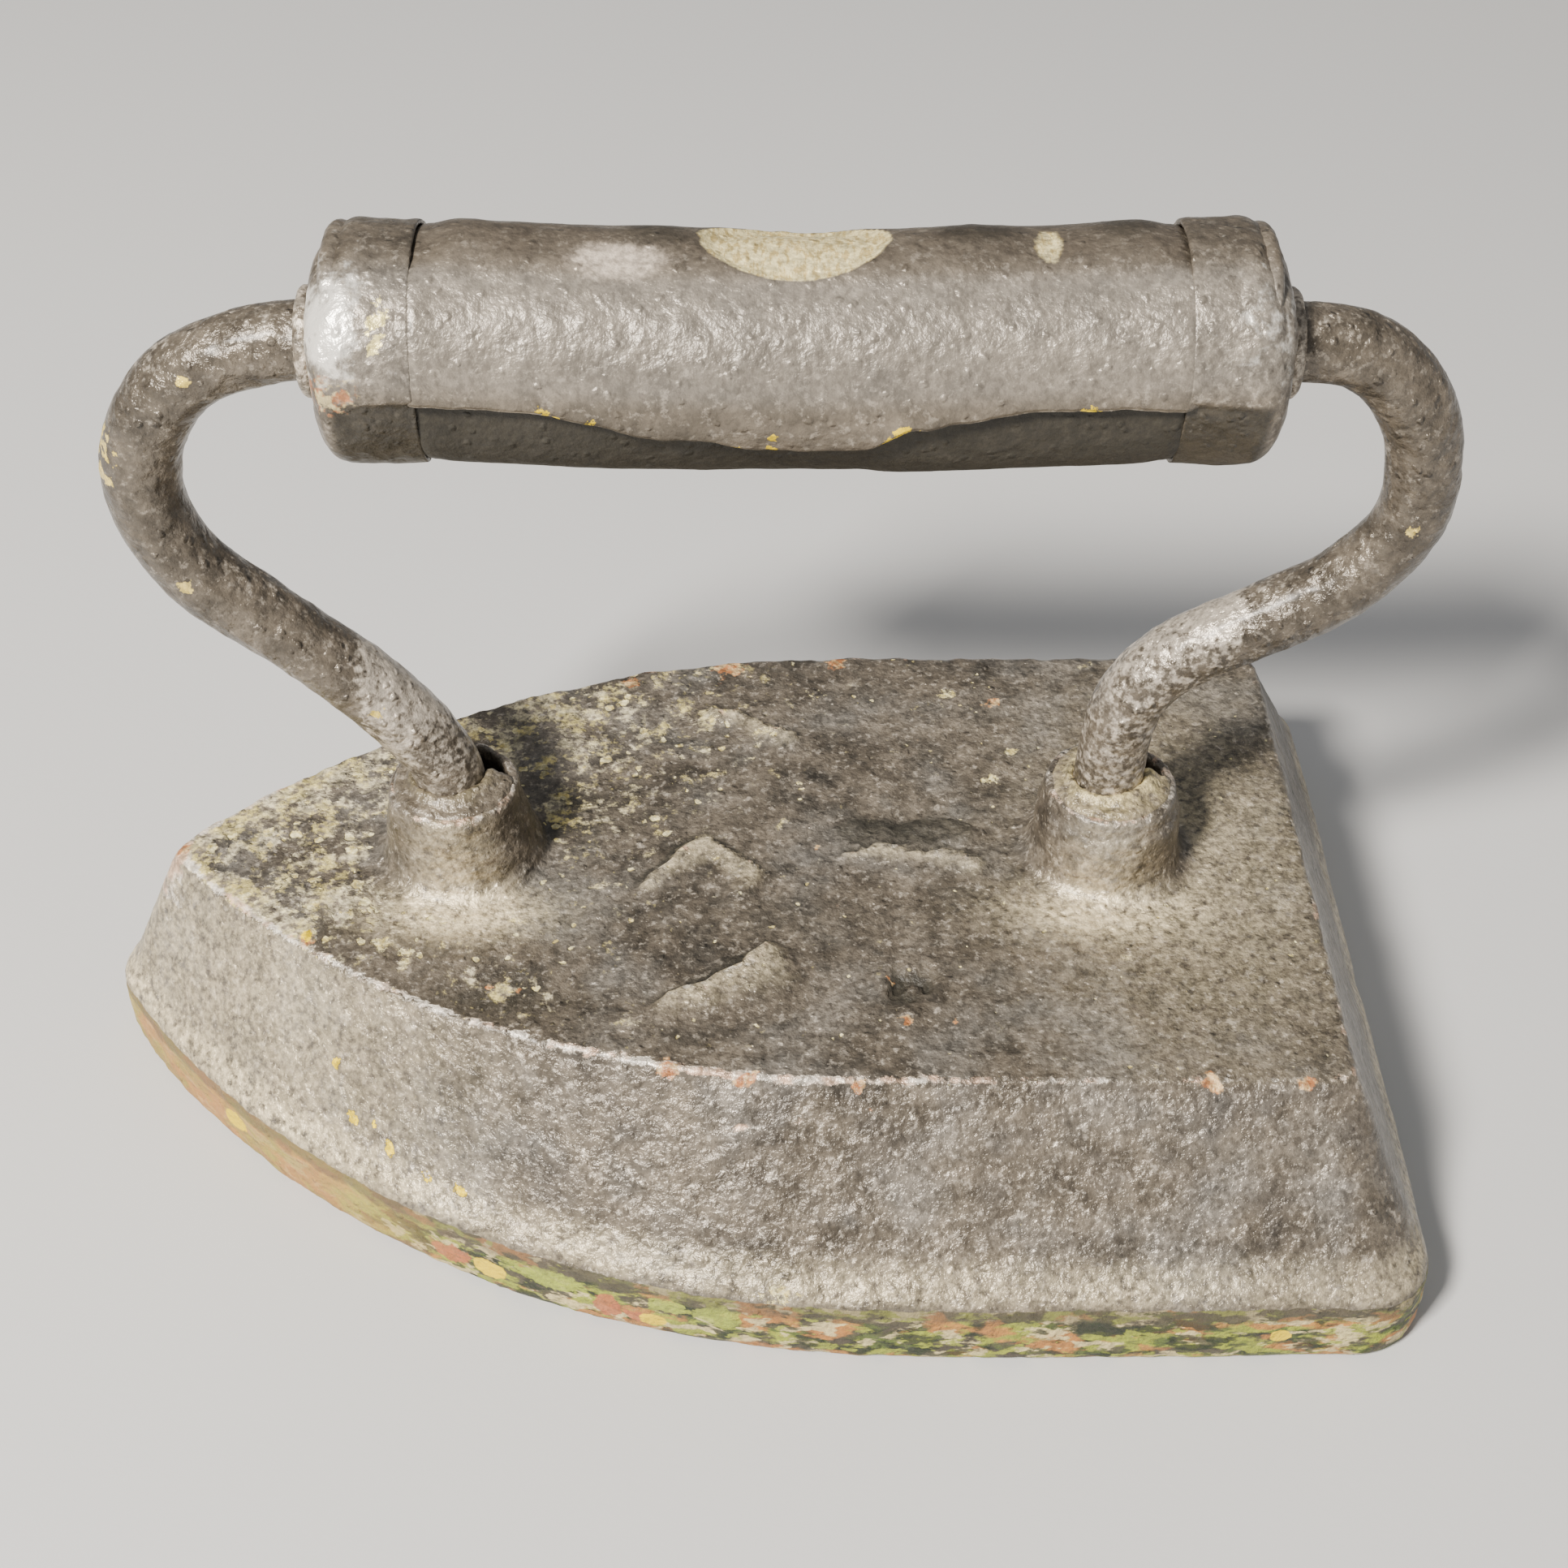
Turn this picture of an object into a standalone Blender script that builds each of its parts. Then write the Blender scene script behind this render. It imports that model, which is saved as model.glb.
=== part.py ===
"""Sad iron with a bent rod handle and a rolled sheet-iron grip.

Metres, +Z up. X runs along the sole, with the toe at -X and the heel at +X. The origin
is on the sole's plane, under the middle of the iron. Nothing on the iron moves.
"""

import math

import bmesh
import bpy
from mathutils import Vector

MM = 0.001
FIT_GAP = 0.3 * MM

# Body casting: an ogive sole, and a smaller ogive top face above it.
SOLE_LENGTH = 165 * MM
SOLE_WIDTH = 113 * MM
SOLE_PARALLEL_FROM_X = 20 * MM
SOLE_NOSE_RADIUS = 7 * MM
SOLE_CORNER_RADIUS = 9 * MM
TOP_LENGTH = 145 * MM
TOP_WIDTH = 79.5 * MM
TOP_PARALLEL_FROM_X = 15 * MM
TOP_NOSE_RADIUS = 2.5 * MM
TOP_CORNER_RADIUS = 2 * MM
BODY_HEIGHT = 31 * MM

# The wall's section from the top edge down: (height, share of the flare from top to sole, inset).
WALL_SECTION = (
    (31.0 * MM, 0.00, 0.7 * MM),
    (30.3 * MM, 0.00, 0.0),
    (22.0 * MM, 0.37, 0.0),
    (14.0 * MM, 0.74, 0.0),
    (12.4 * MM, 0.83, 0.0),
    (11.2 * MM, 0.92, 0.0),
    (10.2 * MM, 0.975, 0.0),
    (9.2 * MM, 1.00, 0.0),
    (1.0 * MM, 1.00, 0.0),
    (0.0, 1.00, 1.0 * MM),
)

# Socket bosses that hold the feet of the rod.
TOE_BOSS_X = -35.7 * MM
HEEL_BOSS_X = 46.6 * MM
BOSS_HEIGHT = 12 * MM
BOSS_RIM_RADIUS = 8.3 * MM
BOSS_FILLET = 2.6 * MM
RIM_STEP = 0.7 * MM
SOCKET_RADIUS = 6.8 * MM
SOCKET_DEPTH = 18 * MM
BOSS_ROOT = 3 * MM

# Grip: a rolled sleeve with a cup at each end, on the rod's straight run.
GRIP_AXIS_Z = 105.5 * MM
GRIP_TOE_X = -44.5 * MM
GRIP_HEEL_X = 58.3 * MM
CAP_LENGTH = 11.3 * MM
CAP_RADIUS = 13.2 * MM
CAP_CORNER = 4.0 * MM
CAP_LIP = 0.5 * MM
CAP_END_WALL = 2.2 * MM
SLEEVE_RADIUS = 12.7 * MM
SLEEVE_NECKING = 0.7 * MM
NECK_SLOPE = 2.0 * MM
SHEET = 1.5 * MM
LAP_LIP_ANGLE = math.radians(-8)
LAP_OVERLAP = math.radians(25)
LAP_JOGGLE = math.radians(45)

# Handle rod: one round bar whose middle run carries the grip.
ROD_RADIUS = 4.4 * MM
FOOT_UPSET = 1.12
COLLAR_RADIUS = 6.0 * MM
COLLAR_WIDTH = 1.8 * MM
PACKING_TOP_DROP = 1.0 * MM
PACKING_DEPTH = 12 * MM
PACKING_VOID_ANGLE = math.radians(38)
PACKING_VOID_HALF_WIDTH = math.radians(38)

BOSS_TOP_Z = BODY_HEIGHT + BOSS_HEIGHT
TOE_FOOT_X = TOE_BOSS_X - 0.2 * MM
HEEL_FOOT_X = HEEL_BOSS_X - 0.5 * MM
SOCKET_FLOOR_Z = BOSS_TOP_Z - SOCKET_DEPTH

# Bends between the foot and the grip, as (x, z) points on the bar's axis.
TOE_BEND = tuple((x * MM, z * MM) for x, z in (
    (-37.2, 47.6), (-44.8, 58.0), (-54.8, 67.6), (-63.2, 76.0),
    (-66.6, 85.5), (-64.9, 95.0), (-58.6, 102.2)))
HEEL_BEND = tuple((x * MM, z * MM) for x, z in (
    (46.3, 49.5), (47.6, 56.0), (52.0, 62.0), (60.6, 67.2), (70.2, 73.2),
    (76.6, 82.0), (76.6, 92.6), (73.0, 100.2), (67.6, 104.6)))

TURN_SEGMENTS = 40
ROD_SIDES_RESOLUTION = 6
ROD_STEPS_PER_BEND = 5


def clear_scene():
    """Remove every object of the open file."""
    for existing in list(bpy.data.objects):
        bpy.data.objects.remove(existing, do_unlink=True)


def make_material(name, colour, roughness, metallic):
    """Return a Principled material."""
    material = bpy.data.materials.new(name)
    material.use_nodes = True
    shader = material.node_tree.nodes["Principled BSDF"]
    shader.inputs["Base Color"].default_value = (*colour, 1.0)
    shader.inputs["Roughness"].default_value = roughness
    shader.inputs["Metallic"].default_value = metallic
    return material


def add_mesh_object(name, mesh_builder, material):
    """Link a new object whose mesh is the given bmesh, and free the bmesh."""
    mesh = bpy.data.meshes.new(name)
    bmesh.ops.recalc_face_normals(mesh_builder, faces=mesh_builder.faces)
    mesh_builder.to_mesh(mesh)
    mesh_builder.free()
    mesh.shade_smooth()
    mesh.set_sharp_from_angle(angle=math.radians(35))
    mesh.materials.append(material)
    created = bpy.data.objects.new(name, mesh)
    bpy.context.scene.collection.objects.link(created)
    return created


def arc_points(centre, radius, start, end, steps):
    """Return points along an arc, both ends included."""
    points = []
    for step in range(steps + 1):
        angle = start + (end - start) * step / steps
        points.append((centre[0] + radius * math.cos(angle), centre[1] + radius * math.sin(angle)))
    return points


def mix(first, second, share):
    """Blend linearly from first to second."""
    return first + (second - first) * share


def body_outline(flare, inset):
    """Return the body's outline, counter-clockwise, between the top (flare 0) and the sole (1)."""
    half_width = mix(TOP_WIDTH, SOLE_WIDTH, flare) / 2 - inset
    half_length = mix(TOP_LENGTH, SOLE_LENGTH, flare) / 2 - inset
    parallel_from = mix(TOP_PARALLEL_FROM_X, SOLE_PARALLEL_FROM_X, flare)
    nose_radius = mix(TOP_NOSE_RADIUS, SOLE_NOSE_RADIUS, flare) - inset
    corner_radius = mix(TOP_CORNER_RADIUS, SOLE_CORNER_RADIUS, flare) - inset
    nose_x = nose_radius - half_length
    reach = parallel_from - nose_x
    side_radius = (reach ** 2 + half_width ** 2 - nose_radius ** 2) / (2 * (half_width - nose_radius))
    tangent = math.atan2(side_radius - half_width, nose_x - parallel_from)
    corner = (half_length - corner_radius, half_width - corner_radius)
    far_side = arc_points(corner, corner_radius, 0, math.pi / 2, 6)
    far_side += arc_points((parallel_from, half_width - side_radius), side_radius,
                           math.pi / 2, tangent, 26)
    far_side += arc_points((nose_x, 0), nose_radius, tangent, math.pi, 6)[1:]
    near_side = [(x, -y) for x, y in reversed(far_side[:-1])]
    return far_side + near_side


def lofted(rings):
    """Return a bmesh that joins closed rings of points in order and caps both ends."""
    builder = bmesh.new()
    rows = [[builder.verts.new(point) for point in ring] for ring in rings]
    count = len(rows[0])
    for lower, upper in zip(rows, rows[1:]):
        for index in range(count):
            after = (index + 1) % count
            builder.faces.new((lower[index], lower[after], upper[after], upper[index]))
    builder.faces.new(rows[0])
    builder.faces.new(reversed(rows[-1]))
    return builder


def turned(profile, axis, centre, filled=False):
    """Return a bmesh of a profile of (along, radius) points turned about an axis.

    A filled profile gets a flat face at each end; any other is closed into a ring.
    """
    direction = Vector(axis).normalized()
    across = direction.orthogonal().normalized()
    up = direction.cross(across)
    builder = bmesh.new()
    rows = []
    for along, radius in profile:
        row = []
        for step in range(TURN_SEGMENTS):
            angle = 2 * math.pi * step / TURN_SEGMENTS
            arm = across * math.cos(angle) + up * math.sin(angle)
            row.append(builder.verts.new(Vector(centre) + direction * along + arm * radius))
        rows.append(row)
    if filled:
        builder.faces.new(rows[0])
        builder.faces.new(rows[-1])
    else:
        rows.append(rows[0])
    for first, second in zip(rows, rows[1:]):
        for step in range(TURN_SEGMENTS):
            after = (step + 1) % TURN_SEGMENTS
            builder.faces.new((first[step], first[after], second[after], second[step]))
    return builder


def add_boolean(target, cutter, operation):
    """Give target an exact boolean with cutter, and keep cutter out of the model."""
    cutter.hide_render = True
    cutter.display_type = "WIRE"
    modifier = target.modifiers.new(cutter.name, "BOOLEAN")
    modifier.operation = operation
    modifier.object = cutter
    modifier.solver = "EXACT"


def boss_profile(rim_step):
    """Return the (height, radius) profile of a socket boss, from its root in the body up."""
    shoulder = BOSS_RIM_RADIUS + rim_step
    top = BOSS_HEIGHT
    return [
        (-BOSS_ROOT, shoulder + BOSS_FILLET + 0.4 * MM),
        (-0.2 * MM, shoulder + BOSS_FILLET + 0.4 * MM),
        (0.3 * MM, shoulder + BOSS_FILLET * 0.62),
        (1.1 * MM, shoulder + BOSS_FILLET * 0.3),
        (2.6 * MM, shoulder + BOSS_FILLET * 0.12),
        (top * 0.7, shoulder),
        (top * 0.75, shoulder - rim_step * 0.8),
        (top - 0.8 * MM, BOSS_RIM_RADIUS),
        (top, BOSS_RIM_RADIUS - 0.5 * MM),
    ]


def build_body_casting(iron):
    """Build the cast body: the sole block, two socket bosses and their blind sockets."""
    rings = []
    for height, flare, inset in WALL_SECTION:
        rings.append([(x, y, height) for x, y in body_outline(flare, inset)])
    body = add_mesh_object("body_casting", lofted(rings), iron)
    for end, boss_x, rim_step in (("toe", TOE_BOSS_X, 0.3 * MM), ("heel", HEEL_BOSS_X, RIM_STEP)):
        boss = add_mesh_object(
            "boss_" + end,
            turned(boss_profile(rim_step), (0, 0, 1), (boss_x, 0, BODY_HEIGHT), filled=True), iron)
        add_boolean(body, boss, "UNION")
        socket_profile = [(0, SOCKET_RADIUS), (SOCKET_DEPTH + MM, SOCKET_RADIUS)]
        socket = add_mesh_object(
            "socket_" + end,
            turned(socket_profile, (0, 0, 1), (boss_x, 0, SOCKET_FLOOR_Z), filled=True), iron)
        add_boolean(body, socket, "DIFFERENCE")
    return body


def smooth_run(points, steps):
    """Return points along a centripetal spline through the given (x, z) points."""
    padded = [points[0]] + list(points) + [points[-1]]
    run = []
    for index in range(1, len(padded) - 2):
        before, start, end, after = (Vector(padded[index + offset]) for offset in (-1, 0, 1, 2))
        start_gap = max((start - before).length, MM) ** 0.5
        middle_gap = (end - start).length ** 0.5
        end_gap = max((after - end).length, MM) ** 0.5
        start_turn = (start - before) / start_gap - (end - before) / (start_gap + middle_gap)
        end_turn = (after - end) / end_gap - (after - start) / (middle_gap + end_gap)
        leave = (end - start) + start_turn * middle_gap
        arrive = (end - start) + end_turn * middle_gap
        for step in range(steps):
            share = step / steps
            blend = (2 * share ** 3 - 3 * share ** 2 + 1) * start
            blend += (share ** 3 - 2 * share ** 2 + share) * leave
            blend += (3 * share ** 2 - 2 * share ** 3) * end
            blend += (share ** 3 - share ** 2) * arrive
            run.append(blend)
    run.append(Vector(points[-1]))
    return run


def handle_axis():
    """Return (x, z, thickness) points on the bar's axis from the toe foot to the heel foot."""
    straight_margin = COLLAR_WIDTH + 2.2 * MM
    foot_z = SOCKET_FLOOR_Z + FIT_GAP
    mouth_z = BOSS_TOP_Z - 0.4 * MM
    toe = smooth_run(
        [(TOE_FOOT_X, foot_z), (TOE_FOOT_X, foot_z + 9 * MM), (TOE_FOOT_X, mouth_z), *TOE_BEND,
         (GRIP_TOE_X - straight_margin, GRIP_AXIS_Z), (GRIP_TOE_X + 8 * MM, GRIP_AXIS_Z)],
        ROD_STEPS_PER_BEND)
    heel = smooth_run(
        [(HEEL_FOOT_X, foot_z), (HEEL_FOOT_X, foot_z + 9 * MM), (HEEL_FOOT_X, mouth_z), *HEEL_BEND,
         (GRIP_HEEL_X + straight_margin, GRIP_AXIS_Z), (GRIP_HEEL_X - 8 * MM, GRIP_AXIS_Z)],
        ROD_STEPS_PER_BEND)
    path = toe + list(reversed(heel))
    thickness = [1.0] * len(path)
    for end in (0, 1, -1, -2):
        thickness[end] = FOOT_UPSET
    return [(point.x, point.y, scale) for point, scale in zip(path, thickness)]


def build_handle_rod(wrought):
    """Build the bent round bar, with slightly upset feet."""
    path = handle_axis()
    curve = bpy.data.curves.new("handle_rod", "CURVE")
    curve.dimensions = "3D"
    curve.bevel_depth = ROD_RADIUS
    curve.bevel_resolution = ROD_SIDES_RESOLUTION
    curve.use_fill_caps = True
    curve.render_resolution_u = 0
    spline = curve.splines.new("POLY")
    spline.points.add(len(path) - 1)
    for point, (x, z, scale) in zip(spline.points, path):
        point.co = (x, 0, z, 1)
        point.radius = scale
    spline.use_smooth = True
    curve.materials.append(wrought)
    rod = bpy.data.objects.new("handle_rod", curve)
    bpy.context.scene.collection.objects.link(rod)
    return rod


def sleeve_radius(angle):
    """Return the sheet's outer radius, which joggles inward to tuck under the lap."""
    seam = LAP_LIP_ANGLE + 2 * math.pi
    share = (angle - (seam - LAP_JOGGLE)) / LAP_JOGGLE
    share = min(max(share, 0.0), 1.0)
    ease = share * share * (3 - 2 * share)
    return SLEEVE_RADIUS - (SHEET + FIT_GAP) * ease


def sleeve_sections():
    """Return (x, necking) for each section: the ends are necked to slide inside the caps."""
    first_x = GRIP_TOE_X + CAP_END_WALL + FIT_GAP
    last_x = GRIP_HEEL_X - CAP_END_WALL - FIT_GAP
    toe_mouth = GRIP_TOE_X + CAP_LENGTH + FIT_GAP
    heel_mouth = GRIP_HEEL_X - CAP_LENGTH - FIT_GAP
    spans = 8
    body = []
    for step in range(spans + 1):
        body.append((mix(toe_mouth + NECK_SLOPE, heel_mouth - NECK_SLOPE, step / spans), 0.0))
    toe_end = [(first_x, 1.0), (toe_mouth, 1.0), (toe_mouth + NECK_SLOPE / 2, 0.5)]
    heel_end = [(heel_mouth - NECK_SLOPE / 2, 0.5), (heel_mouth, 1.0), (last_x, 1.0)]
    return toe_end + body + heel_end


def build_grip_sleeve(sheet_iron):
    """Build the rolled sleeve, whose edges lap along the lower front."""
    around = 60
    start = LAP_LIP_ANGLE
    end = LAP_LIP_ANGLE + 2 * math.pi + LAP_OVERLAP
    builder = bmesh.new()
    rows = []
    for x, necking in sleeve_sections():
        outer = []
        inner = []
        for step in range(around + 1):
            angle = mix(start, end, step / around)
            outer_radius = sleeve_radius(angle) - SLEEVE_NECKING * necking
            for edge, radius in ((outer, outer_radius), (inner, outer_radius - SHEET)):
                y = -radius * math.cos(angle)
                z = GRIP_AXIS_Z + radius * math.sin(angle)
                edge.append(builder.verts.new((x, y, z)))
        rows.append(outer + list(reversed(inner)))
    ring = len(rows[0])
    for first, second in zip(rows, rows[1:]):
        for index in range(ring):
            after = (index + 1) % ring
            builder.faces.new((first[index], first[after], second[after], second[index]))
    for row in (rows[0], rows[-1]):
        for index in range(around):
            inner_index = ring - 1 - index
            builder.faces.new((row[index], row[index + 1], row[inner_index - 1], row[inner_index]))
    return add_mesh_object("grip_sleeve", builder, sheet_iron)


def cap_profile():
    """Return the (along, radius) section of a cup-shaped end cap, from its outer end inward."""
    bore = ROD_RADIUS + FIT_GAP
    inside = SLEEVE_RADIUS - SLEEVE_NECKING + FIT_GAP
    corner = arc_points((CAP_CORNER, CAP_RADIUS - CAP_CORNER), CAP_CORNER, math.pi, math.pi / 2, 6)
    lip = arc_points((CAP_LENGTH - CAP_LIP, CAP_RADIUS - CAP_LIP), CAP_LIP, math.pi / 2, 0, 3)
    hollow = [(CAP_LENGTH, inside), (CAP_END_WALL, inside), (CAP_END_WALL, bore)]
    return [(0.0, bore)] + corner + lip + hollow


def build_grip_end_caps(sheet_iron):
    """Build the two cups that close the sleeve's ends and centre it on the bar."""
    toe_centre = (GRIP_TOE_X, 0, GRIP_AXIS_Z)
    heel_centre = (GRIP_HEEL_X, 0, GRIP_AXIS_Z)
    add_mesh_object("grip_end_cap_toe", turned(cap_profile(), (1, 0, 0), toe_centre), sheet_iron)
    add_mesh_object("grip_end_cap_heel", turned(cap_profile(), (-1, 0, 0), heel_centre), sheet_iron)


def collar_profile():
    """Return the (along, radius) section of a thin ring with rounded outer corners."""
    bore = ROD_RADIUS + FIT_GAP
    rounding = 0.5 * MM
    return [
        (0, bore),
        (0, COLLAR_RADIUS - rounding),
        (rounding, COLLAR_RADIUS),
        (COLLAR_WIDTH - rounding, COLLAR_RADIUS),
        (COLLAR_WIDTH, COLLAR_RADIUS - rounding),
        (COLLAR_WIDTH, bore),
    ]


def build_rod_collars(wrought):
    """Build the rings that stop the grip from sliding along the bar."""
    toe_centre = (GRIP_TOE_X - FIT_GAP, 0, GRIP_AXIS_Z)
    heel_centre = (GRIP_HEEL_X + FIT_GAP, 0, GRIP_AXIS_Z)
    add_mesh_object("rod_collar_toe", turned(collar_profile(), (-1, 0, 0), toe_centre), wrought)
    add_mesh_object("rod_collar_heel", turned(collar_profile(), (1, 0, 0), heel_centre), wrought)


def build_socket_packings(packing_metal):
    """Build the packing round each foot, broken out to a void on the side toward the heel."""
    outer = SOCKET_RADIUS - FIT_GAP
    steps = 36
    top_z = BOSS_TOP_Z - PACKING_TOP_DROP
    bottom_z = top_z - PACKING_DEPTH
    bore = ROD_RADIUS * FOOT_UPSET
    first_angle = PACKING_VOID_ANGLE + PACKING_VOID_HALF_WIDTH
    last_angle = PACKING_VOID_ANGLE - PACKING_VOID_HALF_WIDTH + 2 * math.pi
    for end, boss_x, foot_x in (("toe", TOE_BOSS_X, TOE_FOOT_X), ("heel", HEEL_BOSS_X, HEEL_FOOT_X)):
        outer_arc = arc_points((boss_x, 0), outer, first_angle, last_angle, steps)
        inner_arc = arc_points((foot_x, 0), bore, last_angle, first_angle, steps)
        section = outer_arc + inner_arc
        rings = [[(x, y, z) for x, y in section] for z in (bottom_z, top_z)]
        add_mesh_object("socket_packing_" + end, lofted(rings), packing_metal)


def main():
    """Build every piece of the iron."""
    clear_scene()
    iron = make_material("painted_cast_iron", (0.085, 0.078, 0.070), 0.55, 0.3)
    wrought = make_material("painted_wrought_bar", (0.095, 0.086, 0.077), 0.5, 0.35)
    sheet_iron = make_material("painted_sheet_iron", (0.105, 0.096, 0.088), 0.48, 0.35)
    packing_metal = make_material("rusted_packing", (0.16, 0.13, 0.10), 0.7, 0.1)
    build_body_casting(iron)
    build_handle_rod(wrought)
    build_grip_sleeve(sheet_iron)
    build_grip_end_caps(sheet_iron)
    build_rod_collars(wrought)
    build_socket_packings(packing_metal)


if __name__ == "__main__":
    main()
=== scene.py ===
"""Looks of the old painted sad iron: weathered skins over the fixed frame, and a plain studio."""

import itertools
import math

import bpy
import numpy as np
from bpy.props import FloatProperty, FloatVectorProperty, PointerProperty
from mathutils import Matrix, Vector


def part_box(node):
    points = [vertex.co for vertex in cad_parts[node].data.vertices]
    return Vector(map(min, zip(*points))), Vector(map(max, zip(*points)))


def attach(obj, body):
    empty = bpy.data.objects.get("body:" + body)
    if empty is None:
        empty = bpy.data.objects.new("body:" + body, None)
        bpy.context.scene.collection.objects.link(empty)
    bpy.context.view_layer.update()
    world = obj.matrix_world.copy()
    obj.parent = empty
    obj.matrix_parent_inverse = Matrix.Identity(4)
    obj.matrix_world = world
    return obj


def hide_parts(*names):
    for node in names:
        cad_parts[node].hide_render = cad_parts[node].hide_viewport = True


bl_info = {
    "name": "Sad Iron",
    "version": (1, 0, 0),
    "blender": (4, 5, 0),
    "location": "3D View > Sidebar > Sad Iron",
    "description": "Builds the weathered skins of an old painted sad iron on its frame",
    "category": "Add Mesh",
}

MM = 0.001
TAU = 2 * math.pi

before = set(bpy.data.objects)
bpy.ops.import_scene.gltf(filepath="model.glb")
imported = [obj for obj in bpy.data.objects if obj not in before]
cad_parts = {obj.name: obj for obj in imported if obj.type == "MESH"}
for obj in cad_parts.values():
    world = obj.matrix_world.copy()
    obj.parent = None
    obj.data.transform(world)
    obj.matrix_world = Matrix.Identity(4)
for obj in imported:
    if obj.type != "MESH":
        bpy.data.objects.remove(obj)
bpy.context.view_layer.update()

# Shapes and finishes are worked out in millimetres. The frame, the settings and the stage hold metres.
body_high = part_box("body_casting")[1] / MM
sleeve_low, sleeve_high = (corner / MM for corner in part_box("grip_sleeve"))
toe_cap_low, toe_cap_high = (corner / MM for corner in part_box("grip_end_cap_toe"))
heel_cap_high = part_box("grip_end_cap_heel")[1] / MM
toe_packing_low, toe_packing_high = (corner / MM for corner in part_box("socket_packing_toe"))
heel_packing_low, heel_packing_high = (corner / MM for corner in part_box("socket_packing_heel"))

GRIP_AXIS_Z = (toe_cap_low.z + toe_cap_high.z) / 2
GRIP_MIDDLE_X = (toe_cap_low.x + heel_cap_high.x) / 2
GRIP_HALF = (heel_cap_high.x - toe_cap_low.x) / 2
CAP_LENGTH = toe_cap_high.x - toe_cap_low.x
CAP_REACH = toe_cap_high.x - sleeve_low.x
TOE_BOSS_X = (toe_packing_low.x + toe_packing_high.x) / 2
HEEL_BOSS_X = (heel_packing_low.x + heel_packing_high.x) / 2
BOSS_HEIGHT = 12
TOP_FACE_Z = body_high.z - BOSS_HEIGHT
BAND_TOP_Z = 9.4
TANGENT_X = 15  # where the body's sides turn from straight to curved
SIDE_RADIUS = 116.5
TOP_HALF_WIDTH = 39.75
TOP_HEEL_X = 72.5
WORN_DENT = (6.3, 98, 9.9, 31)  # the grip's big dent: length, angle up from the front, half-widths


# ---------------------------------------------------------------- settings


class IronSizes(bpy.types.PropertyGroup):
    """Sizes of the surface work and of the studio."""

    skin_step: FloatProperty(
        name="Skin step", description="Size of the body skin's faces",
        default=0.73 * MM, unit="LENGTH", precision=5)
    fine_step: FloatProperty(
        name="Fine step", description="Size of the faces on the bar, the caps and the rings",
        default=0.48 * MM, unit="LENGTH", precision=5)
    sheet: FloatProperty(
        name="Sheet", description="Thickness of the grip's rolled sheet",
        default=1.5 * MM, unit="LENGTH", precision=5)
    lap_gap: FloatProperty(
        name="Lap gap", description="Gap between the sheet's lap and the edge tucked under it",
        default=0.3 * MM, unit="LENGTH", precision=5)
    grip_sag: FloatProperty(
        name="Grip sag", description="How far the middle of the grip is bent down",
        default=1.4 * MM, unit="LENGTH", precision=5)
    sleeve_necking: FloatProperty(
        name="Sleeve necking", description="How much slimmer the sleeve is inside the caps",
        default=0.7 * MM, unit="LENGTH", precision=5)
    lens: FloatProperty(
        name="Lens", description="The camera's focal length on a 36 mm sensor",
        default=54.3, unit="CAMERA")
    camera_pitch: FloatProperty(
        name="Camera pitch", description="How far the camera looks down",
        default=math.radians(41.5), subtype="ANGLE")
    camera_heading: FloatProperty(
        name="Camera heading", description="How far the camera turns from the iron's side",
        default=math.radians(-0.8), subtype="ANGLE")
    camera_roll: FloatProperty(
        name="Camera roll", description="How far the camera is tipped about its own axis",
        default=math.radians(0.5), subtype="ANGLE")
    camera_place: FloatVectorProperty(
        name="Camera place", description="Where the camera stands",
        default=(2.5 * MM, -221.9 * MM, 238.4 * MM), subtype="TRANSLATION")


class IronColours(bpy.types.PropertyGroup):
    """Colours of the paint layers, the rust and the studio."""

    paint: FloatVectorProperty(
        name="Paint", description="The grey top coat",
        default=(0.206, 0.172, 0.132), subtype="COLOR")
    # Also mixed in as painted shade over the tops of the caps.
    paint_dark: FloatVectorProperty(
        name="Dark paint", description="The top coat where it is thick or grimy",
        default=(0.052, 0.043, 0.032), subtype="COLOR")
    paint_pale: FloatVectorProperty(
        name="Pale paint", description="The top coat where it is thin, dusty or polished",
        default=(0.60, 0.53, 0.44), subtype="COLOR")
    cream: FloatVectorProperty(
        name="Cream", description="The old cream coat that shows at chips",
        default=(0.66, 0.55, 0.28), subtype="COLOR")
    yellow: FloatVectorProperty(
        name="Yellow", description="The old yellow coat that shows at chips",
        default=(0.80, 0.57, 0.004), subtype="COLOR")
    rust: FloatVectorProperty(
        name="Rust", description="Rust and primer at chips",
        default=(0.40, 0.15, 0.05), subtype="COLOR")
    green: FloatVectorProperty(
        name="Green", description="The old green coat on the sole's edge",
        default=(0.09, 0.125, 0.022), subtype="COLOR")
    # Also the colour of painted shade: cast shadows, hollows, socket cups and the inside of the grip.
    shadow: FloatVectorProperty(
        name="Shadow", description="The greenish dark of grimy hollows",
        default=(0.022, 0.020, 0.014), subtype="COLOR")
    floor: FloatVectorProperty(
        name="Floor", description="The studio floor",
        default=(0.60, 0.60, 0.60), subtype="COLOR")


# ---------------------------------------------------------------- noise over points


def rise(value, low, high):
    """Return 0 below low, 1 above high and a smooth rise between, for arrays."""
    share = np.clip((value - low) / (high - low), 0.0, 1.0)
    return share * share * (3 - 2 * share)


def hashed(cells, seed):
    """Return one number in 0..1 for each row of whole-number cells."""
    mixed = cells[:, 0] * 73856093 ^ cells[:, 1] * 19349663 ^ cells[:, 2] * 83492791
    mixed = (mixed ^ (seed * 26544357)) * 1274126177
    mixed = (mixed ^ (mixed >> 15)) * 668265263
    return ((mixed ^ (mixed >> 13)) & 0xFFFF) / 65535.0


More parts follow.
